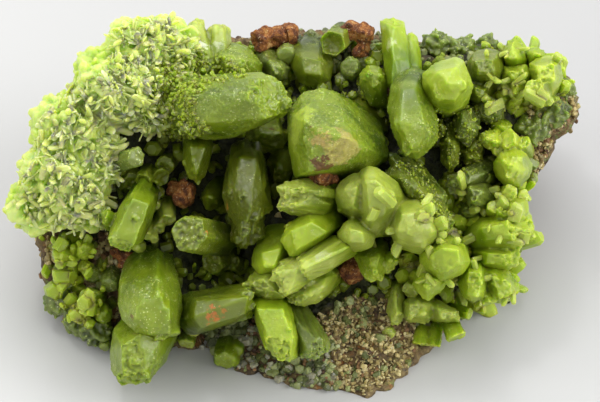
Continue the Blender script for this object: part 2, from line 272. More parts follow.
# How each crystal looks: (tone, frost, stripes, hollow, habit). frost is how much of it is covered in fine bright grain,
# stripes how strongly it is furrowed along its length, hollow how deep its end face is dished, over its radius.
LOOKS = {
    "crystal_upper_left_large": ("mid", 0.7, 0.2, 0.0, "bundle"),
    "crystal_centre_large": ("mid", 0.7, 0.1, 0.0, "barrel"),
    "crystal_centre_left": ("deep", 0.45, 0.6, 0.0, "fan"),
    "crystal_hexagonal_end": ("olive", 0.6, 0.2, 0.0, "bundle"),
    "crystal_tabular_left": ("mid", 0.35, 0.5, 0.0, "bundle"),
    "crystal_lower_left_barrel": ("mid", 0.8, 0.2, 0.0, "barrel"),
    "crystal_lower_left_foot": ("mid", 0.6, 0.3, 0.0, "fan"),
    "crystal_lower_prism": ("olive", 0.4, 0.6, 0.0, "bundle"),
    "crystal_bottom_smooth": ("fresh", 0.2, 0.4, 0.0, "fan"),
    "crystal_bottom_striated": ("grey", 0.2, 1.0, 0.0, "fan"),
    "crystals_lath_group": ("pale", 0.35, 1.0, 0.0, "lath"),
    "crystal_centre_slanted": ("fresh", 0.2, 0.5, 0.0, "prism"),
    "crystals_centre_star": ("pale", 0.4, 0.6, 0.12, "fan"),
    "crystal_smooth_left_of_centre": ("fresh", 0.15, 0.2, 0.0, "barrel"),
    "crystals_centre_cluster": ("pale", 0.3, 0.2, 0.0, "barrel"),
    "crystal_upper_right_barrel": ("mid", 0.75, 0.1, 0.0, "barrel"),
    "crystal_upper_right_fat": ("fresh", 0.3, 0.1, 0.0, "barrel"),
    "crystals_top_tall_pair": ("fresh", 0.2, 0.4, 0.0, "prism"),
    "crystals_olive_upper_right": ("olive", 0.3, 0.3, 0.0, "bundle"),
    "crystals_pointed_upper_right": ("fresh", 0.2, 0.3, 0.0, "bundle"),
    "crystals_bright_right": ("yellow", 0.2, 0.3, 0.0, "fan"),
    "crystals_right_knob": ("yellow", 0.3, 0.3, 0.0, "fan"),
    "crystals_grey_right_of_fat": ("grey", 0.9, 0.3, 0.0, "bundle"),
    "crystal_grey_lath_right": ("grey", 0.7, 0.7, 0.0, "lath"),
    "crystals_ribbed_right": ("grey", 0.4, 1.0, 0.0, "lath"),
    "crystals_dark_right_of_barrel": ("olive", 0.6, 0.5, 0.0, "bundle"),
    "crystal_granular_slab": ("olive", 0.8, 0.3, 0.0, "bundle"),
    "crystals_right_edge_large": ("fresh", 0.4, 0.3, 0.0, "fan"),
    "crystals_lower_right_corner": ("fresh", 0.4, 0.3, 0.0, "fan"),
    "crystal_right_of_centre_low": ("fresh", 0.4, 0.2, 0.0, "barrel"),
    "crystal_lower_right_slanted": ("fresh", 0.4, 0.3, 0.0, "bundle"),
    "crystals_lower_right_yellow": ("pale", 0.5, 0.3, 0.0, "fan"),
    "crystal_lower_right_leaf": ("pale", 0.5, 0.6, 0.0, "fan"),
    "crystals_lower_right_teeth": ("fresh", 0.5, 0.4, 0.0, "fan"),
    "crystals_below_frosted": ("fresh", 0.6, 0.3, 0.0, "fan"),
    "crystal_back_grey_barrel": ("olive", 0.3, 0.3, 0.0, "barrel"),
    "crystal_back_grey_prism": ("grey", 0.5, 0.3, 0.0, "bundle"),
    "crystal_hollow": ("olive", 0.5, 0.3, 0.6, "prism"),
    "crystal_frosted_end_top": ("mid", 0.7, 0.3, 0.0, "prism"),
    "crystal_behind_centre": ("olive", 0.4, 0.4, 0.0, "bundle"),
    "crystal_shadowed_middle": ("olive", 0.3, 0.3, 0.0, "bundle"),
    "crystals_left_rim_green": ("fresh", 0.3, 0.2, 0.0, "barrel"),
    "crystals_left_flank_knobs": ("mid", 0.6, 0.2, 0.0, "barrel"),
    "crystals_olive_hollow": ("olive", 0.4, 0.3, 0.4, "bundle"),
    "crystal_sparkling_end": ("grey", 0.9, 0.3, 0.0, "prism"),
    "crystal_hanging_left": ("olive", 0.3, 0.5, 0.0, "bundle"),
    "crystal_dark_middle": ("olive", 0.2, 0.3, 0.0, "prism"),
    "crystals_top_left_pair": ("pale", 0.3, 0.5, 0.0, "lath"),
}

# A habit: how many parallel prisms stand round the core, their radius, the difference in where they end, how far they lean
# out, the radius of the core, and how much of the bevel the ends have. All but the first and last are over the crystal's radius.
HABITS = {
    "barrel": (8, 0.38, 0.12, 0.00, 0.97, 1.0),
    "prism": (6, 0.40, 0.12, 0.01, 0.95, 0.25),
    "bundle": (13, 0.30, 0.26, 0.03, 0.90, 0.1),
    "fan": (15, 0.29, 0.30, 0.16, 0.84, 0.0),
    "lath": (9, 0.34, 0.30, 0.00, 0.90, 0.0),
}

# Rust-coloured stains and crumbs on single crystals: (x, y, w, reach in units, strength, colour)
ORANGE, BROWN, TAN, WHITE = (0.50, 0.17, 0.025), (0.13, 0.045, 0.012), (0.50, 0.36, 0.12), (0.66, 0.74, 0.52)
STAINS = {
    "crystal_centre_left": [(236, 204, -1.0, 12, 0.8, ORANGE), (242, 190, 0.0, 7, 0.5, BROWN)],
    "crystal_lower_prism": [(214, 314, 1.0, 13, 1.0, ORANGE), (222, 308, 1.5, 8, 0.8, ORANGE)],
    "crystal_centre_large": [(342, 150, 4.8, 26, 0.55, TAN), (320, 140, 4.8, 15, 0.75, TAN), (322, 166, 4.2, 15, 0.9, BROWN), (309, 128, 4.4, 5, 0.8, BROWN), (298, 122, 1.5, 30, 0.8, (0.36, 0.46, 0.04))],
    "crystals_top_left_pair": [(199, 46, -6.0, 13, 0.75, WHITE), (219, 46, -6.5, 8, 0.4, WHITE)],
    "crystals_top_tall_pair": [(389, 44, -6.2, 9, 0.35, WHITE)],
    "crystals_lath_group": [(322, 252, 2.8, 12, 0.30, WHITE)],
    "crystal_hexagonal_end": [(205, 233, 2.5, 5, 0.8, ORANGE)],
    "crystals_centre_cluster": [(352, 200, 5.0, 8, 0.7, ORANGE), (336, 212, 4.0, 9, 0.9, BROWN)],
    "crystal_lower_left_barrel": [(127, 318, 2.5, 8, 0.8, BROWN)],
    "crystal_upper_right_barrel": [(421, 92, -2.0, 5, 0.5, BROWN)],
    "crystal_tabular_left": [(149, 232, -1.0, 6, 0.7, BROWN)],
}

OUTLINE = [
    (110, 60, -9), (150, 36, -9), (190, 34, -10), (240, 44, -11), (290, 38, -12), (340, 34, -12), (380, 40, -12), (420, 44, -12),
    (470, 48, -12), (510, 46, -12), (548, 60, -12), (566, 80, -11.5), (580, 114, -11), (554, 136, -11), (543, 164, -11), (528, 184, -10.5),
    (522, 215, -10.5), (510, 250, -10.5), (500, 285, -11), (470, 306, -10.5), (450, 326, -9.5), (428, 344, -7.5), (412, 364, -6.0),
    (388, 386, -4.6), (368, 397, -3.8), (330, 388, -4.2), (290, 385, -4.6), (258, 371, -5.6), (226, 374, -5.6), (206, 352, -7.2),
    (176, 344, -7.8), (130, 350, -7.6), (104, 342, -9.5), (72, 322, -10), (54, 300, -10), (46, 270, -10), (42, 240, -9.5),
    (36, 212, -9), (40, 178, -8), (50, 140, -8), (74, 96, -8.5),
]
RELIEF = [
    (180, 205, -9.5), (215, 180, -10), (240, 255, -9.5), (262, 178, -10), (222, 262, -9.5), (300, 135, -9.5), (300, 320, -6.5), (372, 350, -3.5),
    (390, 320, -5.5), (350, 375, -4.5), (400, 345, -6.5), (250, 352, -6.5), (215, 345, -7.5), (370, 300, -6.5), (95, 270, -7.0), (70, 290, -8.0),
    (110, 240, -7.0), (540, 120, -10), (520, 110, -10), (470, 180, -8.5), (500, 250, -8.5), (440, 300, -8.5), (330, 340, -4.5), (345, 320, -5.0),
]
BACK_DEPTH = 14.5
HEART = (300.0, 205.0)
EQUATOR = math.radians(112.0)
SOCKET_DEPTH = 1.2


# ---- noise -------------------------------------------------------------------------------------------------------------
def lattice(ix, iy, iz, seed):
    h = (ix * 374761393 + iy * 668265263 + iz * 2147483647 + seed * 1274126177) & 0x7FFFFFFF
    h = (h ^ (h >> 13)) * 1103515245 & 0x7FFFFFFF
    h = (h ^ (h >> 16)) * 668265263 & 0x7FFFFFFF
    return (h & 0xFFFF) / 32767.5 - 1.0


def smooth_noise(p, seed=0):
    """Smooth noise from -1 to 1 at each row of p: random values on a grid of whole numbers, eased between."""
    p = np.asarray(p, float)
    cell = np.floor(p).astype(np.int64)
    f = p - cell
    f = f * f * (3.0 - 2.0 * f)
    total = 0.0
    for dx in (0, 1):
        for dy in (0, 1):
            for dz in (0, 1):
                weight = (f[:, 0] if dx else 1 - f[:, 0]) * (f[:, 1] if dy else 1 - f[:, 1]) * (f[:, 2] if dz else 1 - f[:, 2])
                total = total + weight * lattice(cell[:, 0] + dx, cell[:, 1] + dy, cell[:, 2] + dz, seed)
    return total


def rough_noise(p, octaves, seed=0):
    total, size, scale = 0.0, 1.0, 1.0
    for k in range(octaves):
        total = total + smooth_noise(p * scale, seed + k * 17) * size
        size *= 0.5
        scale *= 2.03
    return total


def grains(p, seed=0):
    """Rounded grains packed side by side, from -1 in the seams to 1 on top: the distance to the nearest of one random point a cell."""
    p = np.asarray(p, float)
    cell = np.floor(p).astype(np.int64)
    nearest = np.full(len(p), 9.0)
    for dx in (-1, 0, 1):
        for dy in (-1, 0, 1):
            for dz in (-1, 0, 1):
                x, y, z = cell[:, 0] + dx, cell[:, 1] + dy, cell[:, 2] + dz
                jitter = np.column_stack([0.5 + 0.42 * lattice(x, y, z, seed + k) for k in (0, 71, 143)])
                gap = ((p - np.column_stack((x, y, z)) - jitter) ** 2).sum(1)
                nearest = np.minimum(nearest, gap)
    return 1.0 - 2.0 * np.sqrt(nearest) / 0.9


def columns(a, b, seed=0):
    """A random height for each of the cells that the plane of a and b is parted in."""
    p = np.column_stack((a, b))
    cell = np.floor(p).astype(np.int64)
    nearest, height = np.full(len(p), 9.0), np.zeros(len(p))
    zero = np.zeros(len(p), np.int64)
    for dx in (-1, 0, 1):
        for dy in (-1, 0, 1):
            x, y = cell[:, 0] + dx, cell[:, 1] + dy
            spot = np.column_stack((x + 0.5 + 0.4 * lattice(x, y, zero, seed), y + 0.5 + 0.4 * lattice(x, y, zero, seed + 7)))
            gap = ((p - spot) ** 2).sum(1)
            mine = gap < nearest
            nearest = np.where(mine, gap, nearest)
            height = np.where(mine, lattice(x, y, zero, seed + 31), height)
    return height


# ---- materials ----------------------------------------------------------------------------------------------------------
def new_material(name):
    material = bpy.data.materials.new(name)
    material.use_nodes = True
    tree = material.node_tree
    shader = tree.nodes["Principled BSDF"]
    return material, tree, shader


class Nodes:
    """Short ways to add the nodes that the materials are made of."""

    def __init__(self, tree):
        self.tree = tree
        self.place = tree.nodes.new("ShaderNodeTexCoord").outputs["Object"]

    def put(self, value, socket):
        if isinstance(value, bpy.types.NodeSocket):
            self.tree.links.new(value, socket)
        elif isinstance(value, tuple) and len(value) == 3 and socket.type == "RGBA":
            socket.default_value = (*value, 1.0)
        else:
            socket.default_value = value

    def noise(self, scale, detail=3.0, rough=0.5, seed=0.0, distort=0.0, stretch=None):
        node = self.tree.nodes.new("ShaderNodeTexNoise")
        shift = self.tree.nodes.new("ShaderNodeVectorMath")
        shift.operation = "ADD"
        shift.inputs[1].default_value = (seed * 0.0137, seed * 0.0071, seed * 0.0193)
        self.put(self.place if stretch is None else stretch, shift.inputs[0])
        self.put(shift.outputs[0], node.inputs["Vector"])
        node.inputs["Scale"].default_value = scale
        node.inputs["Detail"].default_value = detail
        node.inputs["Roughness"].default_value = rough
        node.inputs["Distortion"].default_value = distort
        return node.outputs["Fac"]

    def cells(self, scale, seed=0.0, output="Distance", feature="F1"):
        node = self.tree.nodes.new("ShaderNodeTexVoronoi")
        node.feature = feature
        shift = self.tree.nodes.new("ShaderNodeVectorMath")
        shift.operation = "ADD"
        shift.inputs[1].default_value = (seed * 0.0093, seed * 0.0171, seed * 0.0057)
        self.put(self.place, shift.inputs[0])
        self.put(shift.outputs[0], node.inputs["Vector"])
        node.inputs["Scale"].default_value = scale
        return node.outputs[output]

    def span(self, value, low, high, to_low=0.0, to_high=1.0, smooth=True):
        node = self.tree.nodes.new("ShaderNodeMapRange")
        node.interpolation_type = "SMOOTHSTEP" if smooth else "LINEAR"
        self.put(value, node.inputs["Value"])
        for socket, v in (("From Min", low), ("From Max", high), ("To Min", to_low), ("To Max", to_high)):
            node.inputs[socket].default_value = v
        return node.outputs["Result"]

    def math(self, operation, a, b=0.0):
        node = self.tree.nodes.new("ShaderNodeMath")
        node.operation = operation
        node.use_clamp = operation in ("MULTIPLY", "ADD")
        self.put(a, node.inputs[0])
        self.put(b, node.inputs[1])
        return node.outputs[0]

    def blend(self, share, a, b):
        node = self.tree.nodes.new("ShaderNodeMix")
        node.data_type = "RGBA"
        self.put(share, node.inputs[0])
        self.put(a, node.inputs[6])
        self.put(b, node.inputs[7])
        return node.outputs[2]

    def ramp(self, value, *stops):
        node = self.tree.nodes.new("ShaderNodeValToRGB")
        ramp = node.color_ramp
        while len(ramp.elements) < len(stops):
            ramp.elements.new(0.5)
        for element, (place, colour) in zip(ramp.elements, stops):
            element.position = place
            element.color = (*colour, 1.0)
        self.put(value, node.inputs[0])
        return node.outputs[0]

    def value(self, name):
        node = self.tree.nodes.new("ShaderNodeAttribute")
        node.attribute_name = name
        return node.outputs["Fac"]

    def bump(self, height, strength, distance, below=None):
        node = self.tree.nodes.new("ShaderNodeBump")
        node.inputs["Strength"].default_value = strength
        node.inputs["Distance"].default_value = distance
        self.put(height, node.inputs["Height"])
        if below is not None:
            self.put(below, node.inputs["Normal"])
        return node.outputs[0]

    def times(self, a, b):
        node = self.tree.nodes.new("ShaderNodeMath")
        node.operation = "MULTIPLY"
        self.put(a, node.inputs[0])
        self.put(b, node.inputs[1])
        return node.outputs[0]

    def facets(self, scale, seed):
        """The height of a surface made of small flat grains, each tilted its own way, in metres."""
        shift = self.tree.nodes.new("ShaderNodeVectorMath")
        shift.operation = "ADD"
        shift.inputs[1].default_value = (seed * 0.0113, seed * 0.0067, seed * 0.0147)
        self.put(self.place, shift.inputs[0])
        cell = self.tree.nodes.new("ShaderNodeTexVoronoi")
        cell.inputs["Scale"].default_value = scale
        self.put(shift.outputs[0], cell.inputs["Vector"])
        away = self.tree.nodes.new("ShaderNodeVectorMath")
        away.operation = "SUBTRACT"
        self.put(shift.outputs[0], away.inputs[0])
        self.put(cell.outputs["Position"], away.inputs[1])
        tilt = self.tree.nodes.new("ShaderNodeVectorMath")
        tilt.operation = "SUBTRACT"
        self.put(cell.outputs["Color"], tilt.inputs[0])
        tilt.inputs[1].default_value = (0.5, 0.5, 0.5)
        dot = self.tree.nodes.new("ShaderNodeVectorMath")
        dot.operation = "DOT_PRODUCT"
        self.put(away.outputs[0], dot.inputs[0])
        self.put(tilt.outputs[0], dot.inputs[1])
        return dot.outputs["Value"]

    def edges(self):
        return self.tree.nodes.new("ShaderNodeNewGeometry").outputs["Pointiness"]

    def near(self, point, reach, seed):
        """1 at a point, falling to 0 at about reach from it, with a ragged edge."""
        gap = self.tree.nodes.new("ShaderNodeVectorMath")
        gap.operation = "DISTANCE"
        self.put(self.place, gap.inputs[0])
        gap.inputs[1].default_value = tuple(point)
        ragged = self.times(self.noise(1.5 / reach, 5.0, 0.72, seed), reach * 3.0)
        total = self.tree.nodes.new("ShaderNodeMath")
        total.operation = "ADD"
        self.put(gap.outputs["Value"], total.inputs[0])
        self.put(ragged, total.inputs[1])
        return self.span(total.outputs[0], reach * 2.25, reach * 1.95)


# deep, middle and light colour of each tone of crystal
TONES = {
    "fresh": ((0.115, 0.195, 0.002), (0.250, 0.355, 0.007), (0.385, 0.485, 0.034)),
    "yellow": ((0.165, 0.240, 0.002), (0.315, 0.415, 0.011), (0.47, 0.56, 0.065)),
    "pale": ((0.135, 0.198, 0.005), (0.262, 0.330, 0.024), (0.43, 0.50, 0.095)),
    "mid": ((0.060, 0.106, 0.001), (0.148, 0.216, 0.004), (0.245, 0.322, 0.016)),
    "olive": ((0.038, 0.062, 0.001), (0.096, 0.130, 0.003), (0.185, 0.230, 0.013)),
    "deep": ((0.024, 0.034, 0.001), (0.060, 0.077, 0.002), (0.125, 0.150, 0.008)),
    "grey": ((0.042, 0.066, 0.005), (0.100, 0.135, 0.014), (0.21, 0.26, 0.045)),
    "druse": ((0.300, 0.450, 0.014), (0.465, 0.630, 0.058), (0.66, 0.80, 0.25)),
}


def crystal_material(name, tone, frost, seed, stains=(), fine=1.0, flecks=1.0, coat=None, white=0.0, scatter=0.0012):
    material, tree, shader = new_material(name)
    n = Nodes(tree)
    deep, middle, light = TONES[tone]
    cloud = n.noise(330.0, 2.0, 0.5, seed, 0.3)
    colour = n.ramp(cloud, (0.30, deep), (0.48, middle), (0.74, light))
    # the ends are lighter than the feet
    along = n.value("along")
    colour = n.blend(n.span(along, 0.50, 1.05, 0.0, 0.50), colour, light)
    colour = n.blend(n.span(along, 0.05, 0.60, 0.80, 0.0), colour, deep)
    colour = n.blend(n.span(n.value("cap"), 0.2, 0.9, 0.0, 0.35), colour, light)
    # thin edges let light through, and grooves look deep
    colour = n.blend(n.span(n.edges(), 0.52, 0.64, 0.0, 0.45), colour, tuple(min(1.0, c * 1.15) for c in light))
    colour = n.blend(n.span(n.edges(), 0.48, 0.38, 0.0, 0.45), colour, deep)
    granular = n.value("granular")
    # paler mottling where the surface is grained
    mottle = n.math("MULTIPLY", n.span(n.noise(2300.0, 3.0, 0.6, seed + 7), 0.45, 0.70), n.span(granular, 0.1, 0.9))
    colour = n.blend(n.math("MULTIPLY", mottle, 0.15 + 0.20 * frost), colour, light)
    # single bright grains, a tenth of a millimetre across
    pick = n.span(n.cells(6000.0 * fine, seed + 3, "Color"), 0.60, 0.68)
    dot = n.span(n.cells(6000.0 * fine, seed + 3), 0.50, 0.28)
    zone = n.span(n.noise(900.0, 3.0, 0.65, seed + 5), 0.62 - 0.22 * frost, 0.74 - 0.22 * frost)
    fleck = n.math("MULTIPLY", n.math("MULTIPLY", pick, dot), zone)
    colour = n.blend(n.math("MULTIPLY", fleck, (0.32 + 0.28 * frost) * flecks), colour, (0.80, 0.86, 0.40))
    rough = n.span(granular, 0.2, 0.9, 0.30, 0.42)
    rough = n.math("ADD", rough, n.math("MULTIPLY", fleck, -0.2))
    for k, (x, y, w, reach, strength, tint) in enumerate(stains):
        mask = n.near(at(x, y, w), reach * UNIT, seed + k * 5.0)
        dirt = n.blend(n.noise(3800.0, 3.0, 0.7, seed + 9), tuple(c * 0.45 for c in tint), tuple(min(1.0, c * 1.5) for c in tint))
        colour = n.blend(n.math("MULTIPLY", mask, strength), colour, dirt)
        rough = n.math("ADD", rough, n.math("MULTIPLY", mask, 0.35 * strength))
    if white:
        # some of the blades are almost white
        colour = n.blend(n.span(n.value("shade"), 1.0 - white, 1.0 - white * 0.7, 0.0, 0.8), colour, (0.66, 0.82, 0.36))
    n.put(colour, shader.inputs["Base Color"])
    n.put(rough, shader.inputs["Roughness"])
    normal = n.bump(n.noise(1300.0, 3.0, 0.55, seed + 1), 0.22, 0.00010)
    tilted = n.times(n.facets(5600.0 * fine, seed), n.span(granular, 0.2, 1.0, 0.06, 0.25 + 0.35 * frost))
    normal = n.bump(tilted, 1.0, 1.0, normal)
    n.put(normal, shader.inputs["Normal"])
    # a glassy skin of tiny faces, each turned its own way, that glitters
    glint = n.times(n.facets(3600.0 * fine, seed + 31), n.span(n.noise(700.0, 3.0, 0.6, seed + 33), 0.42, 0.62, 0.10, 0.9))
    n.put(n.bump(glint, 1.0, 1.0), shader.inputs["Coat Normal"])
    shader.inputs["Coat Weight"].default_value = coat if coat is not None else 0.10 + 0.16 * frost
    shader.inputs["Coat Roughness"].default_value = 0.10
    shader.inputs["IOR"].default_value = 1.60
    shader.inputs["Subsurface Weight"].default_value = 0.85
    shader.inputs["Subsurface Radius"].default_value = (0.70, 1.0, 0.15)
    shader.inputs["Subsurface Scale"].default_value = scatter
    shader.inputs["Specular IOR Level"].default_value = 0.36
    return material


def rock_material(name, seed):
    """Gossan: brown with tan, rusty and grey-green grains, and dark green in the hollows between the crystals."""
    material, tree, shader = new_material(name)
    n = Nodes(tree)
    broad = n.noise(210.0, 3.0, 0.6, seed, 0.6)
    colour = n.ramp(broad, (0.30, (0.040, 0.024, 0.010)), (0.44, (0.130, 0.080, 0.028)), (0.56, (0.230, 0.165, 0.070)), (0.70, (0.120, 0.125, 0.045)))
    fine = n.noise(1900.0, 4.0, 0.7, seed + 2)
    colour = n.blend(n.span(fine, 0.50, 0.70), colour, (0.36, 0.27, 0.115))
    colour = n.blend(n.span(fine, 0.47, 0.30), colour, (0.020, 0.011, 0.005))
    rust = n.math("MULTIPLY", n.span(n.noise(330.0, 4.0, 0.65, seed + 4), 0.54, 0.66), n.span(n.noise(2600.0, 3.0, 0.6, seed + 6), 0.40, 0.60))
    colour = n.blend(rust, colour, (0.29, 0.110, 0.018))
    green = n.math("MULTIPLY", n.span(n.noise(240.0, 3.0, 0.6, seed + 8), 0.50, 0.60), n.span(n.cells(2600.0, seed), 0.55, 0.20))
    colour = n.blend(green, colour, (0.17, 0.21, 0.055))
    colour = n.blend(n.span(n.edges(), 0.50, 0.40, 0.0, 0.85), colour, (0.014, 0.009, 0.004))
    hollow = n.blend(n.span(fine, 0.35, 0.70), (0.006, 0.007, 0.002), (0.060, 0.070, 0.018))
    colour = n.blend(n.value("field"), colour, hollow)
    n.put(colour, shader.inputs["Base Color"])
    n.put(n.span(fine, 0.3, 0.7, 0.55, 0.90), shader.inputs["Roughness"])
    normal = n.bump(n.noise(900.0, 5.0, 0.65, seed + 1), 0.6, 0.00030)
    normal = n.bump(n.facets(5200.0, seed), 1.0, 0.9, normal)
    n.put(normal, shader.inputs["Normal"])
    return material


def grain_material(name, dark, middle, light, seed, rough=0.45, clear=0.3):
    """Small grains that each have a shade of their own."""
    material, tree, shader = new_material(name)
    n = Nodes(tree)
    shade = n.value("shade")
    colour = n.ramp(shade, (0.0, dark), (0.5, middle), (1.0, light))
    fine = n.noise(3600.0, 3.0, 0.65, seed)
    colour = n.blend(n.span(fine, 0.50, 0.75, 0.0, 0.6), colour, light)
    colour = n.blend(n.span(fine, 0.45, 0.25, 0.0, 0.7), colour, dark)
    n.put(colour, shader.inputs["Base Color"])
    n.put(n.span(fine, 0.3, 0.7, rough - 0.1, rough + 0.15), shader.inputs["Roughness"])
    n.put(n.bump(n.cells(5000.0, seed), 0.4, 0.00008), shader.inputs["Normal"])
    shader.inputs["Subsurface Weight"].default_value = clear
    shader.inputs["Subsurface Radius"].default_value = (1.0, 0.75, 0.35)
    shader.inputs["Subsurface Scale"].default_value = 0.0006
    return material


def limonite_material(name, seed):
    material, tree, shader = new_material(name)
    n = Nodes(tree)
    colour = n.ramp(
        n.noise(1300.0, 4.0, 0.7, seed, 0.5),
        (0.30, (0.030, 0.010, 0.004)),
        (0.44, (0.140, 0.040, 0.010)),
        (0.56, (0.330, 0.120, 0.020)),
        (0.70, (0.520, 0.300, 0.100)),
    )
    colour = n.blend(n.span(n.noise(5200.0, 2.0, 0.6, seed + 2), 0.60, 0.74), colour, (0.62, 0.45, 0.24))
    n.put(colour, shader.inputs["Base Color"])
    shader.inputs["Roughness"].default_value = 0.78
    normal = n.bump(n.noise(2400.0, 4.0, 0.7, seed + 1), 0.8, 0.00022)
    n.put(n.bump(n.cells(5200.0, seed), 0.6, 0.0001, normal), shader.inputs["Normal"])
    return material


# ---- making meshes ----------------------------------------------------------------------------------------------------
def unit(v):
    return v / np.linalg.norm(v)


def faceted(spec):
    """Whether this is a body spanned by corners, and not a prism."""
    return isinstance(spec[0], tuple)


def crystal_axes(spec):
    ends = (*spec[0][:3], *spec[1]) if faceted(spec) else spec[:6]
    foot, tip = at(*ends[:3]), at(*ends[3:])
    axis = unit(tip - foot)
    side = OUT - axis * OUT.dot(axis)
    if np.linalg.norm(side) < 0.2:
        side = UP - axis * UP.dot(axis)
    side = unit(side)
    return foot, tip, axis, side, np.cross(axis, side)


def prism(bm, foot, axis, side, across, length, rings, turn, flat, wobbles, slant=0.0):
    """Adds a closed six-sided prism to bm. rings is (share of the length, radius) from the foot up. Its end is cut at a slant, longer
    on the viewer's side."""
    made = bmesh.ops.create_circle(bm, cap_ends=True, segments=6, radius=1.0)
    verts = list(made["verts"])
    top = verts[0].link_faces[0]
    for step in range(len(rings) - 1):
        below = top
        grown = bmesh.ops.extrude_face_region(bm, geom=[below])["geom"]
        raised = [g for g in grown if isinstance(g, bmesh.types.BMVert)]
        top = next(g for g in grown if isinstance(g, bmesh.types.BMFace))
        if step:
            bm.faces.remove(below)
        for v in raised:
            v.co.z += 1.0
        verts += raised
    for v in verts:
        share, radius = rings[round(v.co.z)]
        corner = round(math.atan2(v.co.y, v.co.x) / (math.pi / 3) + 0.5)
        angle = corner * math.pi / 3 + turn
        reach = radius * wobbles[corner % 6]
        towards = math.cos(angle) * reach
        rise = length * share + slant * towards * max(0.0, share * 2.0 - 1.0)
        v.co = Vector(foot + axis * rise + side * towards + across * (math.sin(angle) * reach * flat))


def corners(spec):
    """All corners of a faceted body: those given, the same ones beyond its axis, and six round its foot."""
    (fx, fy, fw, radius), (tx, ty, tw), *front = spec
    foot, tip, axis, side, across = crystal_axes(spec)
    found = [at(*c) for c in front]
    run = (tx - fx) ** 2 + (ty - fy) ** 2
    if run > 24.0**2:
        for x, y, w in front:
            middle = fw + (tw - fw) * ((x - fx) * (tx - fx) + (y - fy) * (ty - fy)) / run
            if w > middle:
                found.append(at(x, y, 2.0 * middle - w))
    for k in range(6):
        angle = k * math.pi / 3
        found.append(foot + (side * math.cos(angle) + across * math.sin(angle)) * (radius * 1.15 * UNIT))
    return found


# how many slim prisms grow along a faceted body, their radius, and how far their ends differ, over the body's radius
BESIDE = {"barrel": (7, 0.26, 0.05), "prism": (6, 0.30, 0.10), "bundle": (16, 0.24, 0.22), "fan": (18, 0.24, 0.30), "lath": (10, 0.34, 0.30)}


def beside(bm, spec, rng, habit):
    """Slim prisms that run along a faceted body, half sunk in it, and end a little sooner or later than it does."""
    count, own_size, ragged = BESIDE[habit]
    foot, tip, axis, side, across = crystal_axes(spec)
    away = np.array([at(*c) for c in spec[2:]]) - foot
    t = away @ axis
    off = away - axis * t[:, None]
    body = np.linalg.norm(off, axis=1).mean()
    late = np.flatnonzero(t > 0.62 * t.max())
    if len(late) < 2:
        return
    for _ in range(count):
        a, b = rng.choice(late, 2, replace=False)
        share = rng.uniform(0, 1)
        aside = (off[a] * (1 - share) + off[b] * share) * rng.uniform(0.80, 0.96)
        reach = (t[a] * (1 - share) + t[b] * share) + ragged * body * rng.uniform(-0.7, 0.8)
        own = own_size * body * rng.uniform(0.65, 1.15)
        start = foot + aside * 0.8 + axis * (reach * 0.2)
        finish = foot + aside + axis * reach
        long = np.linalg.norm(finish - start)
        own_axis = (finish - start) / long
        own_side = unit(side - own_axis * side.dot(own_axis))
        prism(bm, start, own_axis, own_side, np.cross(own_axis, own_side), long, [(0.0, own * 0.9), (0.94, own), (1.0, own * 0.84)], rng.uniform(-0.2, 0.2), rng.uniform(0.8, 1.1), 1.0 + 0.14 * rng.uniform(-1, 1, 6), rng.uniform(-0.3, 0.5))


def one_crystal(bm, spec, rng, habit):
    """A crystal as it really grows: a main prism, and parallel ones all round it that end a little sooner or later."""
    if faceted(spec):
        verts = [bm.verts.new(Vector(c)) for c in corners(spec)]
        bmesh.ops.convex_hull(bm, input=verts)
        bmesh.ops.delete(bm, geom=[v for v in verts if v.is_valid and not v.link_faces], context="VERTS")
        beside(bm, spec, rng, habit)
        return
    foot, tip, axis, side, across = crystal_axes(spec)
    foot_r, tip_r, turn, flat, bevel, end, slant = spec[6:]
    subs, own_size, ragged, lean, core, bevelled = HABITS[habit]
    if bevel > 0.09:
        bevelled = 1.0
    length = np.linalg.norm(tip - foot)
    r0, r1 = foot_r * UNIT, tip_r * UNIT
    if tip_r < 11:
        subs = max(4, subs // 2)
        own_size *= 1.25
    turn = math.radians(turn)
    bevel = max(0.01, bevel * bevelled)
    end = 1.0 - (1.0 - end) * bevelled
    rings = [(0.0, r0 * 0.9), (0.5, (r0 + r1) * 0.5 * core * 1.03), (1.0 - bevel, r1 * core), (1.0, r1 * end * core)]
    prism(bm, foot, axis, side, across, length, rings, turn, flat, 1.0 + 0.07 * rng.uniform(-1, 1, 6), slant)
    for k in range(subs):
        angle = turn + (k + rng.uniform(-0.3, 0.3)) * math.tau / subs
        own = own_size * rng.uniform(0.75, 1.2) * r1
        # the hexagon's own edge is nearer than its corner
        rim = math.cos(math.pi / 6) / math.cos((angle - turn) % (math.pi / 3) - math.pi / 6)
        off = (r1 * rim - own * 0.88) * rng.uniform(0.93, 1.03)
        cosine, sine = math.cos(angle), math.sin(angle) * flat
        outward = side * cosine + across * sine
        scale0 = max(0.3, (r0 * 0.9) / r1 - lean * 0.5)
        start = foot + outward * (off * scale0)
        finish = tip + outward * (off * (1.0 + lean * rng.uniform(0.2, 1.2))) + axis * (ragged * r1 * rng.uniform(-1.0, 0.45) + slant * off * math.cos(angle))
        stop = 1.0 - bevel * (0.5 if bevelled > 0.5 else 0.0)
        finish = start + (finish - start) * stop
        long = np.linalg.norm(finish - start)
        lean_axis = (finish - start) / long
        own_side = unit(side - lean_axis * side.dot(lean_axis))
        rings = [(0.0, own), (0.93, own * 1.02), (1.0, own * (0.72 if bevelled > 0.5 else 0.9))]
        prism(bm, start, lean_axis, own_side, np.cross(lean_axis, own_side), long, rings, turn + rng.uniform(-0.1, 0.1), 1.0, 1.0 + 0.12 * rng.uniform(-1, 1, 6), slant)


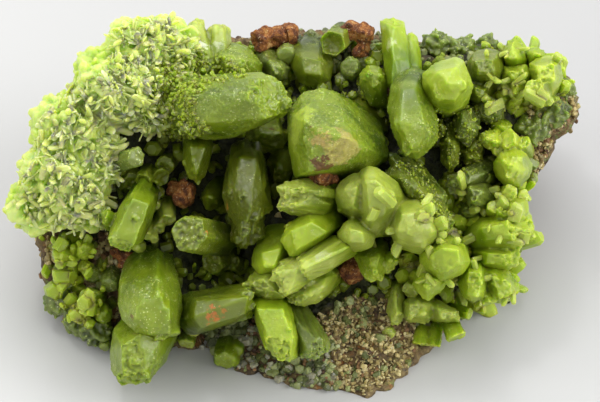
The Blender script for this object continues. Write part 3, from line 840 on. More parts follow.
def add_object(name, mesh, material):
    obj = bpy.data.objects.new(name, mesh)
    bpy.context.scene.collection.objects.link(obj)
    mesh.materials.clear()
    mesh.materials.append(material)
    return obj


def remeshed(name, bm, voxel):
    """The bmesh as one skin, made of small even faces."""
    bm.normal_update()
    bmesh.ops.recalc_face_normals(bm, faces=bm.faces)
    raw = bpy.data.meshes.new(name + "_raw")
    bm.to_mesh(raw)
    bm.free()
    obj = bpy.data.objects.new(name + "_raw", raw)
    bpy.context.scene.collection.objects.link(obj)
    modifier = obj.modifiers.new("skin", "REMESH")
    modifier.mode = "VOXEL"
    modifier.voxel_size = voxel
    graph = bpy.context.evaluated_depsgraph_get()
    mesh = bpy.data.meshes.new_from_object(obj.evaluated_get(graph))
    bpy.data.objects.remove(obj)
    bpy.data.meshes.remove(raw)
    mesh.name = name
    return mesh


def coords(mesh):
    points = np.empty(len(mesh.vertices) * 3)
    mesh.vertices.foreach_get("co", points)
    return points.reshape(-1, 3)


def normals(mesh):
    out = np.empty(len(mesh.vertices) * 3)
    mesh.vertex_normals.foreach_get("vector", out)
    return out.reshape(-1, 3)


def put_coords(mesh, points):
    mesh.vertices.foreach_set("co", points.ravel())
    mesh.update()


def put_value(mesh, name, values):
    attribute = mesh.attributes.new(name, "FLOAT", "POINT")
    attribute.data.foreach_set("value", np.asarray(values, np.float32))


def smooth(mesh):
    mesh.polygons.foreach_set("use_smooth", np.ones(len(mesh.polygons), bool))


def relaxed(mesh, share, times):
    """Rounds the edges off a little, as resinous crystals have them."""
    bm = bmesh.new()
    bm.from_mesh(mesh)
    for _ in range(times):
        bmesh.ops.smooth_vert(bm, verts=bm.verts, factor=share, use_axis_x=True, use_axis_y=True, use_axis_z=True)
    bm.to_mesh(mesh)
    bm.free()
    mesh.update()


# how uneven the ends of each habit are, in metres, and how deep its sides are furrowed
UNEVEN = {"barrel": (0.00005, 0.00003), "prism": (0.00005, 0.00003), "bundle": (0.00016, 0.00005), "fan": (0.00026, 0.00006), "lath": (0.00024, 0.00006)}


def thinned(mesh, share):
    """The same mesh with fewer faces, fewest where it is flat."""
    obj = bpy.data.objects.new("thin_raw", mesh)
    bpy.context.scene.collection.objects.link(obj)
    modifier = obj.modifiers.new("thin", "DECIMATE")
    modifier.ratio = share
    out = bpy.data.meshes.new_from_object(obj.evaluated_get(bpy.context.evaluated_depsgraph_get()))
    name = mesh.name
    bpy.data.objects.remove(obj)
    bpy.data.meshes.remove(mesh)
    out.name = name
    return out


def crystal_mesh(name, specs, look, seed, voxel):
    tone, frost, stripes, hollow, habit = look
    rng = np.random.default_rng(seed)
    bm = bmesh.new()
    for spec in specs:
        one_crystal(bm, spec, rng, habit)
    mesh = remeshed(name, bm, voxel)
    relaxed(mesh, 0.5, 5 if habit == "barrel" else 1)
    points, outward = coords(mesh), normals(mesh)
    best = np.full(len(points), 1e9)
    along, cap, furrow = (np.zeros(len(points)) for _ in range(3))
    growth = np.zeros((len(points), 3))
    uneven, furrowed = UNEVEN[habit]
    for k, spec in enumerate(specs):
        foot, tip, axis, side, across = crystal_axes(spec)
        length = np.linalg.norm(tip - foot)
        if faceted(spec):
            given = np.array([at(*c) for c in spec[2:]]) - foot
            radius = np.sqrt(np.maximum((given**2).sum(1) - (given @ axis) ** 2, 0)).mean() * 1.1
            breadth = 1.0
        else:
            radius, breadth = max(spec[6:8]) * UNIT, spec[9]
        away = points - foot
        t = away @ axis / length
        a, b = away @ side, away @ across / breadth
        r = np.hypot(a, b) / radius
        score = np.maximum(r, 0) + np.maximum(t - 1.0, 0) * 3.0
        mine = score < best
        best = np.where(mine, score, best)
        along = np.where(mine, t, along)
        facing = np.clip((outward @ axis - 0.35) / 0.35, 0, 1)
        cap = np.where(mine, facing, cap)
        height = columns(a * 2300.0 + k * 9.0, b * 2300.0, seed) + 0.5 * columns(a * 4100.0 + k * 9.0, b * 4100.0, seed + 3)
        ends = np.clip((outward @ axis - 0.70) / 0.15, 0, 1) * np.clip((t - 0.6) / 0.2, 0, 1)
        growth = np.where(mine[:, None], axis * (ends * (height - 0.2) * uneven)[:, None], growth)
        angle = np.arctan2(b, a)
        line = np.column_stack((np.cos(angle) * 9.0 + 31.0 * k + seed, np.sin(angle) * 9.0, t * 1.2))
        furrow = np.where(mine, smooth_noise(line, seed) + 0.6 * smooth_noise(line * np.array((2.3, 2.3, 1.0)), seed + 1), furrow)
        if hollow:
            hole = np.clip(1.0 - (r / 0.8) ** 2, 0, 1) * facing * hollow * radius
            points = points - axis * (np.where(mine, hole, 0.0))[:, None]
    granular = np.clip(0.5 + 1.6 * smooth_noise(points * 420.0, seed + 21) + (frost - 0.5) * 1.6, 0, 1)
    lift = 0.00005 * smooth_noise(points * 380.0, seed) + 0.00004 * rough_noise(points * 1200.0, 2, seed + 5)
    lift = lift + (0.00001 + 0.00006 * granular) * grains(points * 3300.0, seed + 9)
    # terraces: the relief of the end faces is stepped
    steps = smooth_noise(points * 1100.0, seed + 13) * 3.0
    lift = lift + cap * 0.00005 * (np.floor(steps) + np.clip((steps - np.floor(steps)) * 4 - 3, 0, 1))
    lift = lift + (1.0 - cap) * (0.3 + stripes) * furrowed * furrow
    points = points + growth + outward * lift[:, None]
    points[:, 2] = np.maximum(points[:, 2], 0.00002)
    put_coords(mesh, points)
    put_value(mesh, "along", along)
    put_value(mesh, "cap", cap)
    put_value(mesh, "granular", granular)
    smooth(mesh)
    return thinned(mesh, 0.36)


STUB = None


def stub_template():
    """A short six-sided prism with a bevelled end, as (vertices, faces): the vertices' z is the share of the length."""
    bm = bmesh.new()
    x, y, z = (np.array(v, float) for v in ((1, 0, 0), (0, 1, 0), (0, 0, 1)))
    prism(bm, np.zeros(3), z, x, y, 1.0, [(0.0, 0.92), (0.86, 1.0), (1.0, 0.66)], 0.0, 1.0, np.ones(6))
    bm.normal_update()
    bmesh.ops.recalc_face_normals(bm, faces=bm.faces)
    bm.verts.index_update()
    found = (np.array([v.co for v in bm.verts]), [[v.index for v in f.verts] for f in bm.faces])
    bm.free()
    return found


def stubs(name, feet, axes, lengths, radii, rng, material, flats=None, taper=0.12, shades=None):
    """Many small prisms as one object, each with its own place, direction, size and shade."""
    mesh = stub_mesh(name, feet, axes, lengths, radii, rng, flats, taper, shades)
    return add_object(name, mesh, material)


def stub_mesh(name, feet, axes, lengths, radii, rng, flats=None, taper=0.12, shades=None):
    global STUB
    if STUB is None:
        STUB = stub_template()
    shape, faces = STUB
    feet, axes = np.asarray(feet), np.asarray(axes)
    count, per = len(feet), len(shape)
    axes = axes / np.linalg.norm(axes, axis=1)[:, None]
    helper = rng.normal(size=(count, 3))
    side = helper - axes * (helper * axes).sum(1)[:, None]
    side /= np.linalg.norm(side, axis=1)[:, None]
    across = np.cross(axes, side)
    flats = np.ones(count) if flats is None else flats
    wobble = 1.0 + rng.uniform(-0.14, 0.14, (count, per))
    z = shape[None, :, 2]
    reach = np.asarray(radii)[:, None] * wobble * (1.0 - taper * z + taper * 0.5)
    slant = rng.uniform(-0.10, 0.10, (count, 1)) * shape[None, :, 0] + rng.uniform(-0.10, 0.10, (count, 1)) * shape[None, :, 1]
    z = z + np.where(z > 0.5, slant * (np.asarray(radii) / np.asarray(lengths))[:, None] * 3.0, 0.0)
    points = (
        feet[:, None, :]
        + axes[:, None, :] * (z * np.asarray(lengths)[:, None])[..., None]
        + side[:, None, :] * (shape[None, :, 0] * reach)[..., None]
        + across[:, None, :] * (shape[None, :, 1] * reach * flats[:, None])[..., None]
    )
    points[:, :, 2] = np.maximum(points[:, :, 2], 0.00003)
    all_faces = [[i + k * per for i in face] for k in range(count) for face in faces]
    mesh = bpy.data.meshes.new(name)
    mesh.from_pydata(points.reshape(-1, 3).tolist(), [], all_faces)
    mesh.update()
    put_value(mesh, "along", np.tile(np.clip(shape[:, 2] * 0.7 + 0.3, 0, 1), count))
    put_value(mesh, "cap", np.tile((shape[:, 2] > 0.95) * 1.0, count))
    shades = rng.uniform(0, 1, count) if shades is None else shades
    put_value(mesh, "shade", np.repeat(shades, per))
    put_value(mesh, "granular", np.repeat(rng.uniform(0, 0.8, count), per))
    return mesh


# ---- the matrix ---------------------------------------------------------------------------------------------------------
FOOT_POINTS = [c[0][:3] if faceted(c) else c[:3] for group in CRYSTALS.values() for c in group]
FEET = np.array([(x, y, w + SOCKET_DEPTH) for x, y, w in FOOT_POINTS if w < -5.5] + RELIEF)
EDGE = sorted((math.atan2(HEART[1] - y, x - HEART[0]) % math.tau, math.hypot(x - HEART[0], y - HEART[1]), w) for x, y, w in OUTLINE)


def face_height(x, y):
    near_by = 1.0 / (((x[:, None] - FEET[None, :, 0]) ** 2 + (y[:, None] - FEET[None, :, 1]) ** 2 + 14.0**2) ** 1.6)
    return (near_by * FEET[None, :, 2]).sum(1) / near_by.sum(1)


# the drawing's part where crystals stand close and the rock shows only as dark gaps
HOLLOWS = [(56, 140), (110, 70), (240, 62), (380, 56), (480, 56), (540, 66), (546, 110), (520, 180), (500, 270), (440, 300), (396, 300), (352, 300), (318, 322), (262, 322), (206, 340), (150, 330), (110, 262), (60, 236)]


def lump_mesh():
    bm = bmesh.new()
    bmesh.ops.create_icosphere(bm, subdivisions=7, radius=1.0)
    mesh = bpy.data.meshes.new("matrix_rock")
    bm.to_mesh(mesh)
    bm.free()
    d = coords(mesh)
    d /= np.linalg.norm(d, axis=1)[:, None]
    polar = np.arccos(np.clip(d[:, 2], -1, 1))
    angle = np.arctan2(d[:, 1], d[:, 0]) % math.tau
    keys = np.array([e[0] for e in EDGE])
    reach = np.interp(angle, keys, np.array([e[1] for e in EDGE]), period=math.tau)
    edge = np.interp(angle, keys, np.array([e[2] for e in EDGE]), period=math.tau)
    flat = np.hypot(d[:, 0], d[:, 1])
    flat[flat == 0] = 1.0
    front = polar <= EQUATOR
    turn = np.clip((polar - EQUATOR) / (math.pi - EQUATOR), 0, 1) * math.pi / 2
    share = np.where(front, (np.minimum(polar, EQUATOR) / EQUATOR) ** 0.95, np.cos(turn) ** 0.6)
    x = HEART[0] + d[:, 0] / flat * reach * share
    y = HEART[1] - d[:, 1] / flat * reach * share
    lift = 1.0 - np.clip(share, 0, 1) ** 8
    w = np.where(front, edge + (face_height(x, y) - edge) * lift, edge - np.sin(turn) * BACK_DEPTH)
    near = 1.0 - w * MM / EYE
    points = (
        CENTRE
        + RIGHT * ((x - 300.0) * UNIT * near)[:, None]
        + UP * ((201.0 - y) * UNIT * near)[:, None]
        + OUT * (w * MM)[:, None]
        + np.array((0.0, 0.0, FACE_Z))
    )
    put_coords(mesh, points)
    outward = normals(mesh)
    place = points - CENTRE
    lumps = 0.00055 * rough_noise(place * 260.0, 2, 3) + 0.00038 * rough_noise(place * 720.0, 2, 11)
    pits = np.clip(rough_noise(place * 1150.0, 2, 29), -1.3, 0.15)
    behind = np.clip((polar - EQUATOR + 0.25) / 0.5, 0, 1)
    broken = smooth_noise(place * 330.0, 61)
    broken = np.floor(broken * 2.5) / 2.5 + 0.5 * np.abs(smooth_noise(place * 620.0, 67))
    lumps = lumps + behind * (0.00042 * broken + 0.00025 * rough_noise(place * 480.0, 2, 71))
    lumps = lumps + 0.00036 * pits + 0.00016 * grains(place * 1350.0, 41) + 0.00009 * grains(place * 3100.0, 43)
    put_coords(mesh, points + outward * lumps[:, None])
    odd = np.zeros(len(points), bool)
    for (x0, y0), (x1, y1) in zip(HOLLOWS, HOLLOWS[1:] + HOLLOWS[:1]):
        cross = ((y0 > y) != (y1 > y)) & (x < (x1 - x0) * (y - y0) / (y1 - y0 + 1e-9) + x0)
        odd ^= cross
    gap = np.full(len(points), 1e9)
    for (x0, y0), (x1, y1) in zip(HOLLOWS, HOLLOWS[1:] + HOLLOWS[:1]):
        t = np.clip(((x - x0) * (x1 - x0) + (y - y0) * (y1 - y0)) / ((x1 - x0) ** 2 + (y1 - y0) ** 2), 0, 1)
        gap = np.minimum(gap, np.hypot(x - x0 - t * (x1 - x0), y - y0 - t * (y1 - y0)))
    depth = np.where(odd, gap, -gap) + 6.0 * smooth_noise(place * 900.0, 51)
    field = np.where(front, np.clip(0.5 + depth / 16.0, 0, 1), 0.0)
    put_value(mesh, "field", field)
    bm = bmesh.new()
    bm.from_mesh(mesh)
    bmesh.ops.bisect_plane(bm, geom=bm.verts[:] + bm.edges[:] + bm.faces[:], plane_co=(0, 0, 0), plane_no=(0, 0, 1), clear_inner=True, dist=1e-7)
    bmesh.ops.contextual_create(bm, geom=[e for e in bm.edges if e.is_boundary])
    bm.to_mesh(mesh)
    bm.free()
    smooth(mesh)
    return mesh


# ---- build everything ------------------------------------------------------------------------------------------------
rng = np.random.default_rng(7)

made = []
for i, (node, specs) in enumerate(CRYSTALS.items()):
    look = LOOKS[node]
    biggest = max(s[0][3] if faceted(s) else max(s[6:8]) for s in specs)
    voxel = 0.000125 if biggest > 20 else 0.000115
    material = crystal_material(node + "_finish", look[0], look[1], 10.0 + i * 7, STAINS.get(node, ()))
    piece = add_object(node + "_grown", crystal_mesh(node + "_grown", specs, look, 100 + i, voxel), material)
    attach(piece, "root")
    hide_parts(node)
    made.append(piece)

rock = add_object("matrix_rock", lump_mesh(), rock_material("gossan", 5.0))
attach(rock, "root")
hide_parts("matrix")
tree = BVHTree.FromObject(rock, bpy.context.evaluated_depsgraph_get())


def first_seen(x, y, trees):
    """Where the line of sight through a point of the drawing first meets one of these surfaces: (point, normal), or None."""
    eye = CENTRE + np.array((0, 0, FACE_Z)) + OUT * EYE
    target = at(x, y, 0.0)
    hits = [t.ray_cast(Vector(eye), Vector(unit(target - eye))) for t in trees]
    hits = [h for h in hits if h[0] is not None]
    hit, normal = min(hits, key=lambda h: h[3])[:2] if hits else (None, None)
    return None if hit is None else (np.array(hit), np.array(normal))


def inside(x, y, polygon):
    odd = False
    for (x0, y0), (x1, y1) in zip(polygon, polygon[1:] + polygon[:1]):
        if (y0 > y) != (y1 > y) and x < (x1 - x0) * (y - y0) / (y1 - y0) + x0:
            odd = not odd
    return odd


def strew(name, polygon, count, radius, length, lean, material, rng, sink=0.3, flat=(0.8, 1.0), towards=None, trees=None):
    """Small prisms on the rock inside a polygon of the drawing. radius and length are (least, most) in units."""
    xs, ys = [p[0] for p in polygon], [p[1] for p in polygon]
    feet, axes, lengths, radii = [], [], [], []
    tries = 0
    while len(feet) < count and tries < count * 6:
        tries += 1
        x, y = rng.uniform(min(xs), max(xs)), rng.uniform(min(ys), max(ys))
        if not inside(x, y, polygon):
            continue
        found = first_seen(x, y, trees or [tree])
        if found is None:
            continue
        point, normal = found
        r = rng.uniform(0, 1) ** 1.8 * (radius[1] - radius[0]) + radius[0]
        long = rng.uniform(*length) * (0.5 + 0.5 * r / radius[1])
        axis = unit(normal + (0 if towards is None else np.asarray(towards)) + lean * rng.normal(size=3))
        feet.append(point - axis * long * sink * UNIT)
        axes.append(axis)
        lengths.append(long * (1 + sink) * UNIT)
        radii.append(r * UNIT)
    return stubs(name, feet, axes, lengths, radii, rng, material, rng.uniform(*flat, len(feet)))


def druse(name, lobes, spacing, size, long, blade, rng, voxel, seed):
    """A crust: fans of prisms and blades all over rounded lobes, grown together. spacing is from fan to fan, in units."""
    feet, axes, lengths, radii, flats = [], [], [], [], []
    for k, (x, y, w, radius) in enumerate(lobes):
        centre = at(x, y, w)
        count = int(9.5 * radius**2 / spacing**2)
        for i in range(count):
            height = 1.0 - (i + 0.5) / count * 1.65
            turn = i * 2.39996 + k * 1.3
            ring = math.sqrt(max(0.0, 1.0 - height * height))
            out = OUT * height + RIGHT * (math.cos(turn) * ring) + UP * (math.sin(turn) * ring)
            out = unit(out + 0.12 * rng.normal(size=3))
            along = rng.normal(size=3)
            along = unit(along - out * along.dot(out))
            lead = unit(out * rng.uniform(0.35, 1.0) + along * rng.uniform(0.3, 1.0))
            spread = unit(np.cross(lead, rng.normal(size=3)))
            members = rng.integers(2, 7)
            big = rng.random() ** 2.5
            long_here = rng.uniform(*long) * (0.8 + 0.9 * big)
            heart = centre + out * (radius * UNIT * rng.uniform(0.78, 0.92)) - lead * (long_here * 0.45 * UNIT)
            for m in range(members):
                fan = (m - (members - 1) / 2) / members
                axis = unit(lead + spread * fan * rng.uniform(0.6, 1.3) + 0.10 * rng.normal(size=3))
                r = (size[0] + (size[1] - size[0]) * big) * rng.uniform(0.7, 1.15)
                feet.append(heart + spread * (fan * r * UNIT * 1.4))
                axes.append(axis)
                lengths.append((long_here * rng.uniform(0.75, 1.15) + 2.0) * UNIT)
                radii.append(r * UNIT)
                flats.append(rng.uniform(*blade))
    loose = stub_mesh(name + "_loose", feet, axes, lengths, radii, rng, np.array(flats), taper=-0.10)
    bm = bmesh.new()
    bm.from_mesh(loose)
    bpy.data.meshes.remove(loose)
    for x, y, w, radius in lobes:
        ball = bmesh.ops.create_icosphere(bm, subdivisions=3, radius=radius * UNIT * 0.9)
        bmesh.ops.translate(bm, vec=Vector(at(x, y, w)), verts=ball["verts"])
    mesh = remeshed(name, bm, voxel)
    points, outward = coords(mesh), normals(mesh)
    above = np.full(len(points), 9.0)
    for x, y, w, radius in lobes:
        above = np.minimum(above, (np.linalg.norm(points - at(x, y, w), axis=1) / UNIT - radius * 0.9) / long[1])
    lift = 0.00003 * rough_noise(points * 1500.0, 2, seed) + 0.00003 * grains(points * 4200.0, seed + 3)
    points = points + outward * lift[:, None]
    points[:, 2] = np.maximum(points[:, 2], 0.00002)
    put_coords(mesh, points)
    put_value(mesh, "along", np.clip(0.30 + above * 0.9, 0, 1.05))
    put_value(mesh, "cap", np.zeros(len(points)))
    put_value(mesh, "granular", np.clip(0.5 + smooth_noise(points * 500.0, seed), 0, 1))
    smooth(mesh)
    return thinned(mesh, 0.5)


def lobes_mesh(name, lobes, voxel, grow, seed, rough):
    bm = bmesh.new()
    for x, y, w, radius in lobes:
        made_ball = bmesh.ops.create_icosphere(bm, subdivisions=3, radius=radius * UNIT * grow)
        bmesh.ops.translate(bm, vec=Vector(at(x, y, w)), verts=made_ball["verts"])
    mesh = remeshed(name, bm, voxel)
    points, outward = coords(mesh), normals(mesh)
    lift = rough * (0.0005 * rough_noise(points * 500.0, 2, seed) + 0.0003 * rough_noise(points * 1500.0, 3, seed + 3))
    points = points + outward * lift[:, None]
    points[:, 2] = np.maximum(points[:, 2], 0.00002)
    put_coords(mesh, points)
    put_value(mesh, "along", np.full(len(points), 0.2))
    put_value(mesh, "cap", np.zeros(len(points)))
    put_value(mesh, "granular", np.full(len(points), 0.8))
    smooth(mesh)
    return mesh


LEFT = [(72, 130, -4.5, 37), (62, 172, -4.5, 35), (36, 204, -6.0, 25), (80, 202, -4.5, 25), (98, 158, -4.0, 22)]
UPPER = [(140, 50, -5.5, 30), (170, 48, -6.5, 24), (108, 88, -4.0, 34), (148, 96, -4.5, 30), (172, 76, -6.0, 26)]
LOWER_LEFT = [(60, 300, -8.4, 14), (79, 317, -7.6, 14), (97, 332, -7.0, 13)]
RIGHT_EDGE = [(552, 112, -10.0, 16), (534, 128, -9.5, 14), (560, 92, -11.0, 14)]
BACK_TOP = [(438, 46, -10.5, 13), (463, 52, -10.5, 13), (487, 50, -11.0, 11)]

bright = crystal_material("bright_druse_finish", "druse", 0.25, 401.0, coat=0.45, scatter=0.0024)
dull = crystal_material("dull_druse_finish", "grey", 0.6, 402.0)
for i, (node, lobes, spacing, size, long, blade, finish, voxel) in enumerate((
    ("druse_upper_left", UPPER, 7.6, (2.8, 8.2), (9.0, 16.0), (0.40, 1.0), bright, 0.00012),
    ("druse_left", LEFT, 7.6, (2.8, 8.2), (9.0, 16.0), (0.40, 1.0), bright, 0.00012),
    ("druse_lower_left", LOWER_LEFT, 5.5, (2.0, 4.5), (5.0, 9.0), (0.6, 1.0), dull, 0.00012),
    ("druse_right_edge", RIGHT_EDGE, 5.5, (1.6, 3.6), (4.0, 8.0), (0.6, 1.0), dull, 0.00012),
    ("druse_back_top", BACK_TOP, 5.5, (1.6, 3.6), (4.0, 8.0), (0.6, 1.0), dull, 0.00012),
)):
    piece = add_object(node + "_mass", druse(node + "_mass", lobes, spacing, size, long, blade, rng, voxel, 60 + i), finish)
    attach(piece, "root")
    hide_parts(node)

LIMONITE = {
    "limonite_top_left": [(260, 40, -9.5, 13), (275, 36, -10.0, 12), (289, 31, -10.5, 9)],
    "limonite_top_middle": [(364, 36, -8.0, 13), (350, 30, -8.5, 10), (362, 50, -8.0, 10)],
    "limonite_on_centre_crystal": [(322, 173, 0.5, 10), (316, 182, -0.5, 9), (331, 180, -0.5, 8)],
    "limonite_lower_centre": [(352, 270, -5.0, 13), (344, 262, -5.5, 9)],
    "limonite_middle_left": [(183, 190, -5.5, 13), (173, 187, -6.0, 9)],
    "limonite_left": [(126, 262, -6.5, 11), (116, 256, -7.0, 9)],
}
for i, (node, lumps) in enumerate(LIMONITE.items()):
    finish = limonite_material(node + "_finish", 300.0 + i * 9)
    piece = add_object(node + "_crumbs", lobes_mesh(node + "_crumbs", lumps, 0.00012, 0.95, 60 + i, 1.0), finish)
    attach(piece, "root")
    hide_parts(node)

# ---- what lies between the named crystals: small ones, grains and crumbs ------------------------------------------------
EXTRAS = {
    "granular_above": ("mid", 0.9, 0.3, "bundle", [
        ((228, 70, -9.5, 16), (228, 62, -3.8), (205, 52, -7.4), (216, 44, -7.8), (236, 43, -7.8), (252, 50, -7.6), (263, 64, -7.0), (262, 74, -6.6), (240, 80, -6.0), (212, 80, -6.0), (202, 66, -6.6), (224, 56, -4.2), (246, 60, -4.2), (236, 72, -3.8)),
    ]),
    "coated_left": ("mid", 1.0, 0.3, "bundle", [
        ((180, 108, -9.0, 22), (180, 108, -2.4), (150, 80, -6.6), (170, 70, -6.4), (196, 70, -5.4), (208, 84, -4.0), (206, 124, -4.0), (196, 138, -4.6), (174, 138, -5.2), (156, 126, -6.0), (148, 100, -6.4), (170, 92, -3.2), (190, 90, -2.6), (192, 118, -2.2), (172, 116, -2.8)),
    ]),
    "grey_lath_on_left": ("grey", 0.2, 0.3, "prism", [
        ((182, 126, -2.0, 4), (206, 128, 0.2), (178, 121, -0.6), (206, 120, 0.4), (216, 132, 0.2), (214, 135, -0.2), (179, 134, -0.8), (180, 131, 0.2), (208, 130, 1.0), (180, 123, 0.1), (204, 122, 0.9)),
    ]),
    "olive_behind": ("olive", 0.5, 0.3, "bundle", [(262, 118, -9.5, 267, 144, -5.5, 20, 20, 10, 1.1, 0.05, 0.9, 0.6)]),
    "under_hexagonal_end": ("olive", 0.4, 0.3, "bundle", [
        (230, 254, -9.5, 212, 263, -5.2, 15, 14, 10, 1.0, 0.05, 0.9, 0.3),
        (240, 266, -9.5, 232, 262, -6.5, 10, 9, 10, 1.0, 0.05, 0.9, 0.3),
    ]),
    "yellow_by_tabular": ("pale", 0.5, 0.3, "bundle", [
        (166, 202, -8.0, 168, 221, -4.8, 9, 9, 20, 1.1, 0.05, 0.9, 0.5),
        (160, 210, -8.0, 159, 230, -4.8, 7, 7, 0, 1.0, 0.05, 0.9, 0.4),
        (146, 222, -6.5, 146, 236, -2.8, 6, 6, 0, 1.0, 0.05, 0.9, 0.4),
        (152, 228, -6.0, 155, 240, -3.2, 5, 5, 0, 1.0, 0.05, 0.9, 0.4),
        (154, 196, -8.0, 156, 206, -4.6, 6, 5, 0, 1.0, 0.05, 0.9, 0.3),
        (130, 240, -6.0, 142, 248, -4.0, 8, 8, 0, 1.0, 0.1, 0.8, 0.3),
    ]),
    "olive_upper_left_gap": ("olive", 0.5, 0.3, "bundle", [
        (132, 172, -8.5, 132, 182, -4.5, 12, 11, 0, 1.0, 0.05, 0.9, 0.3),
        (172, 158, -9.0, 164, 166, -5.0, 12, 11, 0, 1.0, 0.05, 0.9, 0.2),
        (150, 196, -9.0, 158, 192, -5.5, 10, 9, 0, 1.0, 0.05, 0.9, 0.2),
    ]),
    "pale_at_bottom_left": ("pale", 0.6, 0.3, "bundle", [
        (190, 328, -8.0, 186, 345, -6.0, 8, 8, 10, 1.3, 0.04, 0.9, 0.6),
        (202, 320, -8.0, 192, 330, -4.6, 10, 9, 10, 1.0, 0.04, 0.9, 0.6),
    ]),
    "green_ball_at_bottom": ("mid", 0.6, 0.2, "barrel", [
        (230, 344, -7.5, 226, 362, -4.8, 15, 14, 10, 1.0, 0.12, 0.8, 0.3),
        (238, 340, -7.5, 236, 352, -5.2, 9, 9, 10, 1.0, 0.12, 0.8, 0.3),
    ]),
    "brownish_lower_right": ("pale", 0.5, 0.3, "bundle", [
        (420, 278, -8.0, 409, 291, -4.6, 10, 10, 10, 1.0, 0.05, 0.9, 0.4),
        (394, 326, -8.0, 388, 334, -5.0, 8, 7, 10, 1.0, 0.05, 0.9, 0.3),
    ]),
    "grey_left_rim": ("grey", 0.8, 0.2, "barrel", [
        (114, 270, -9.0, 109, 286, -5.5, 12, 11, 10, 1.0, 0.12, 0.8, 0.3),
        (70, 270, -9.5, 66, 284, -6.5, 11, 10, 10, 1.0, 0.12, 0.8, 0.3),
        (92, 268, -9.5, 92, 276, -6.0, 9, 9, 10, 1.0, 0.12, 0.8, 0.3),
        (108, 330, -9.0, 104, 348, -6.0, 8, 7, 10, 1.0, 0.12, 0.8, 0.3),
    ]),
    "grey_back_row": ("grey", 0.6, 0.2, "barrel", [
        (352, 78, -11.5, 350, 66, -6.5, 12, 12, 10, 1.0, 0.12, 0.8, 0.3),
        (290, 50, -12.0, 286, 56, -7.5, 12, 11, 10, 1.0, 0.12, 0.8, 0.3),
        (366, 66, -11.5, 364, 62, -8.0, 10, 9, 10, 1.0, 0.12, 0.8, 0.3),
        (236, 60, -11.0, 240, 62, -6.6, 13, 12, 10, 1.0, 0.12, 0.8, 0.3),
        (404, 92, -10.5, 384, 92, -6.6, 8, 8, 10, 1.0, 0.1, 0.8, 0.3),
    ]),
    "dark_right_gap": ("olive", 0.7, 0.3, "bundle", [
        (478, 222, -9.0, 466, 228, -5.8, 13, 12, 10, 1.0, 0.06, 0.9, 0.4),
        (492, 176, -9.0, 482, 178, -5.0, 11, 10, 10, 1.0, 0.06, 0.9, 0.3),
        (434, 120, -9.0, 438, 132, -4.6, 10, 9, 10, 1.0, 0.06, 0.9, 0.3),
        (470, 128, -9.0, 476, 150, -5.6, 10, 9, 10, 1.0, 0.06, 0.9, 0.4),
    ]),
    "fill_upper_right": ("fresh", 0.6, 0.3, "bundle", [
        ((516, 78, -10.5, 11), (514, 74, -5.6), (502, 66, -7.4), (526, 64, -7.4), (532, 74, -7.2), (526, 88, -7.0), (508, 86, -7.2), (500, 78, -7.4), (510, 72, -5.6), (522, 74, -5.6), (514, 80, -5.4)),
        ((532, 58, -10.5, 9), (536, 52, -7.2), (526, 52, -8.4), (534, 47, -8.6), (544, 50, -8.6), (546, 58, -8.2), (530, 62, -8.0), (534, 54, -7.0), (540, 55, -7.0)),
        ((498, 124, -10.0, 9), (498, 128, -6.2), (490, 122, -7.4), (502, 120, -7.6), (514, 126, -7.4), (508, 134, -7.0), (494, 132, -7.0), (500, 126, -5.8)),
        ((474, 112, -10.0, 8), (476, 100, -6.6), (468, 104, -7.6), (478, 98, -7.8), (486, 108, -7.6), (480, 118, -7.4), (470, 116, -7.4), (477, 108, -6.2)),
    ]),
    "green_right_edge": ("yellow", 0.5, 0.3, "bundle", [
        (500, 196, -8.0, 510, 193, -3.4, 10, 9, 10, 1.0, 0.06, 0.9, 0.3),
        (514, 196, -8.5, 524, 196, -5.5, 9, 8, 10, 1.0, 0.06, 0.9, 0.3),
        (490, 218, -7.0, 494, 206, -3.2, 9, 8, 10, 1.0, 0.06, 0.9, 0.3),
        (512, 110, -10.0, 518, 96, -7.0, 7, 7, 10, 1.0, 0.06, 0.9, 0.3),
        (500, 152, -9.5, 498, 150, -5.0, 8, 8, 10, 1.0, 0.06, 0.9, 0.3),
    ]),
}
for i, (name, (tone, frost, stripes, habit, specs)) in enumerate(EXTRAS.items()):
    stains = [(277, 121, -5.0, 7, 0.7, ORANGE), (271, 129, -5.0, 4, 0.9, BROWN)] if name == "olive_behind" else ()
    piece = add_object(
        name + "_crystals",
        crystal_mesh(name + "_crystals", specs, (tone, frost, stripes, 0.0, habit), 700 + i, 0.00013),
        crystal_material(name + "_finish", tone, frost, 710.0 + i * 3, stains),
    )
    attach(piece, "root")
    made.append(piece)

small_green = crystal_material("small_green_finish", "olive", 0.3, 501.0)
small_grey = crystal_material("small_grey_finish", "grey", 0.5, 502.0)
tan_grain = grain_material("tan_grain_finish", (0.12, 0.075, 0.020), (0.42, 0.33, 0.12), (0.74, 0.62, 0.31), 601.0)
brown_grain = grain_material("brown_grain_finish", (0.035, 0.016, 0.007), (0.13, 0.062, 0.025), (0.34, 0.19, 0.08), 602.0, 0.6, 0.1)
grey_grain = grain_material("grey_grain_finish", (0.09, 0.085, 0.05), (0.24, 0.23, 0.15), (0.46, 0.45, 0.33), 603.0, 0.35, 0.4)
olive_grain = grain_material("olive_grain_finish", (0.06, 0.075, 0.02), (0.17, 0.20, 0.06), (0.36, 0.40, 0.16), 604.0, 0.4, 0.4)

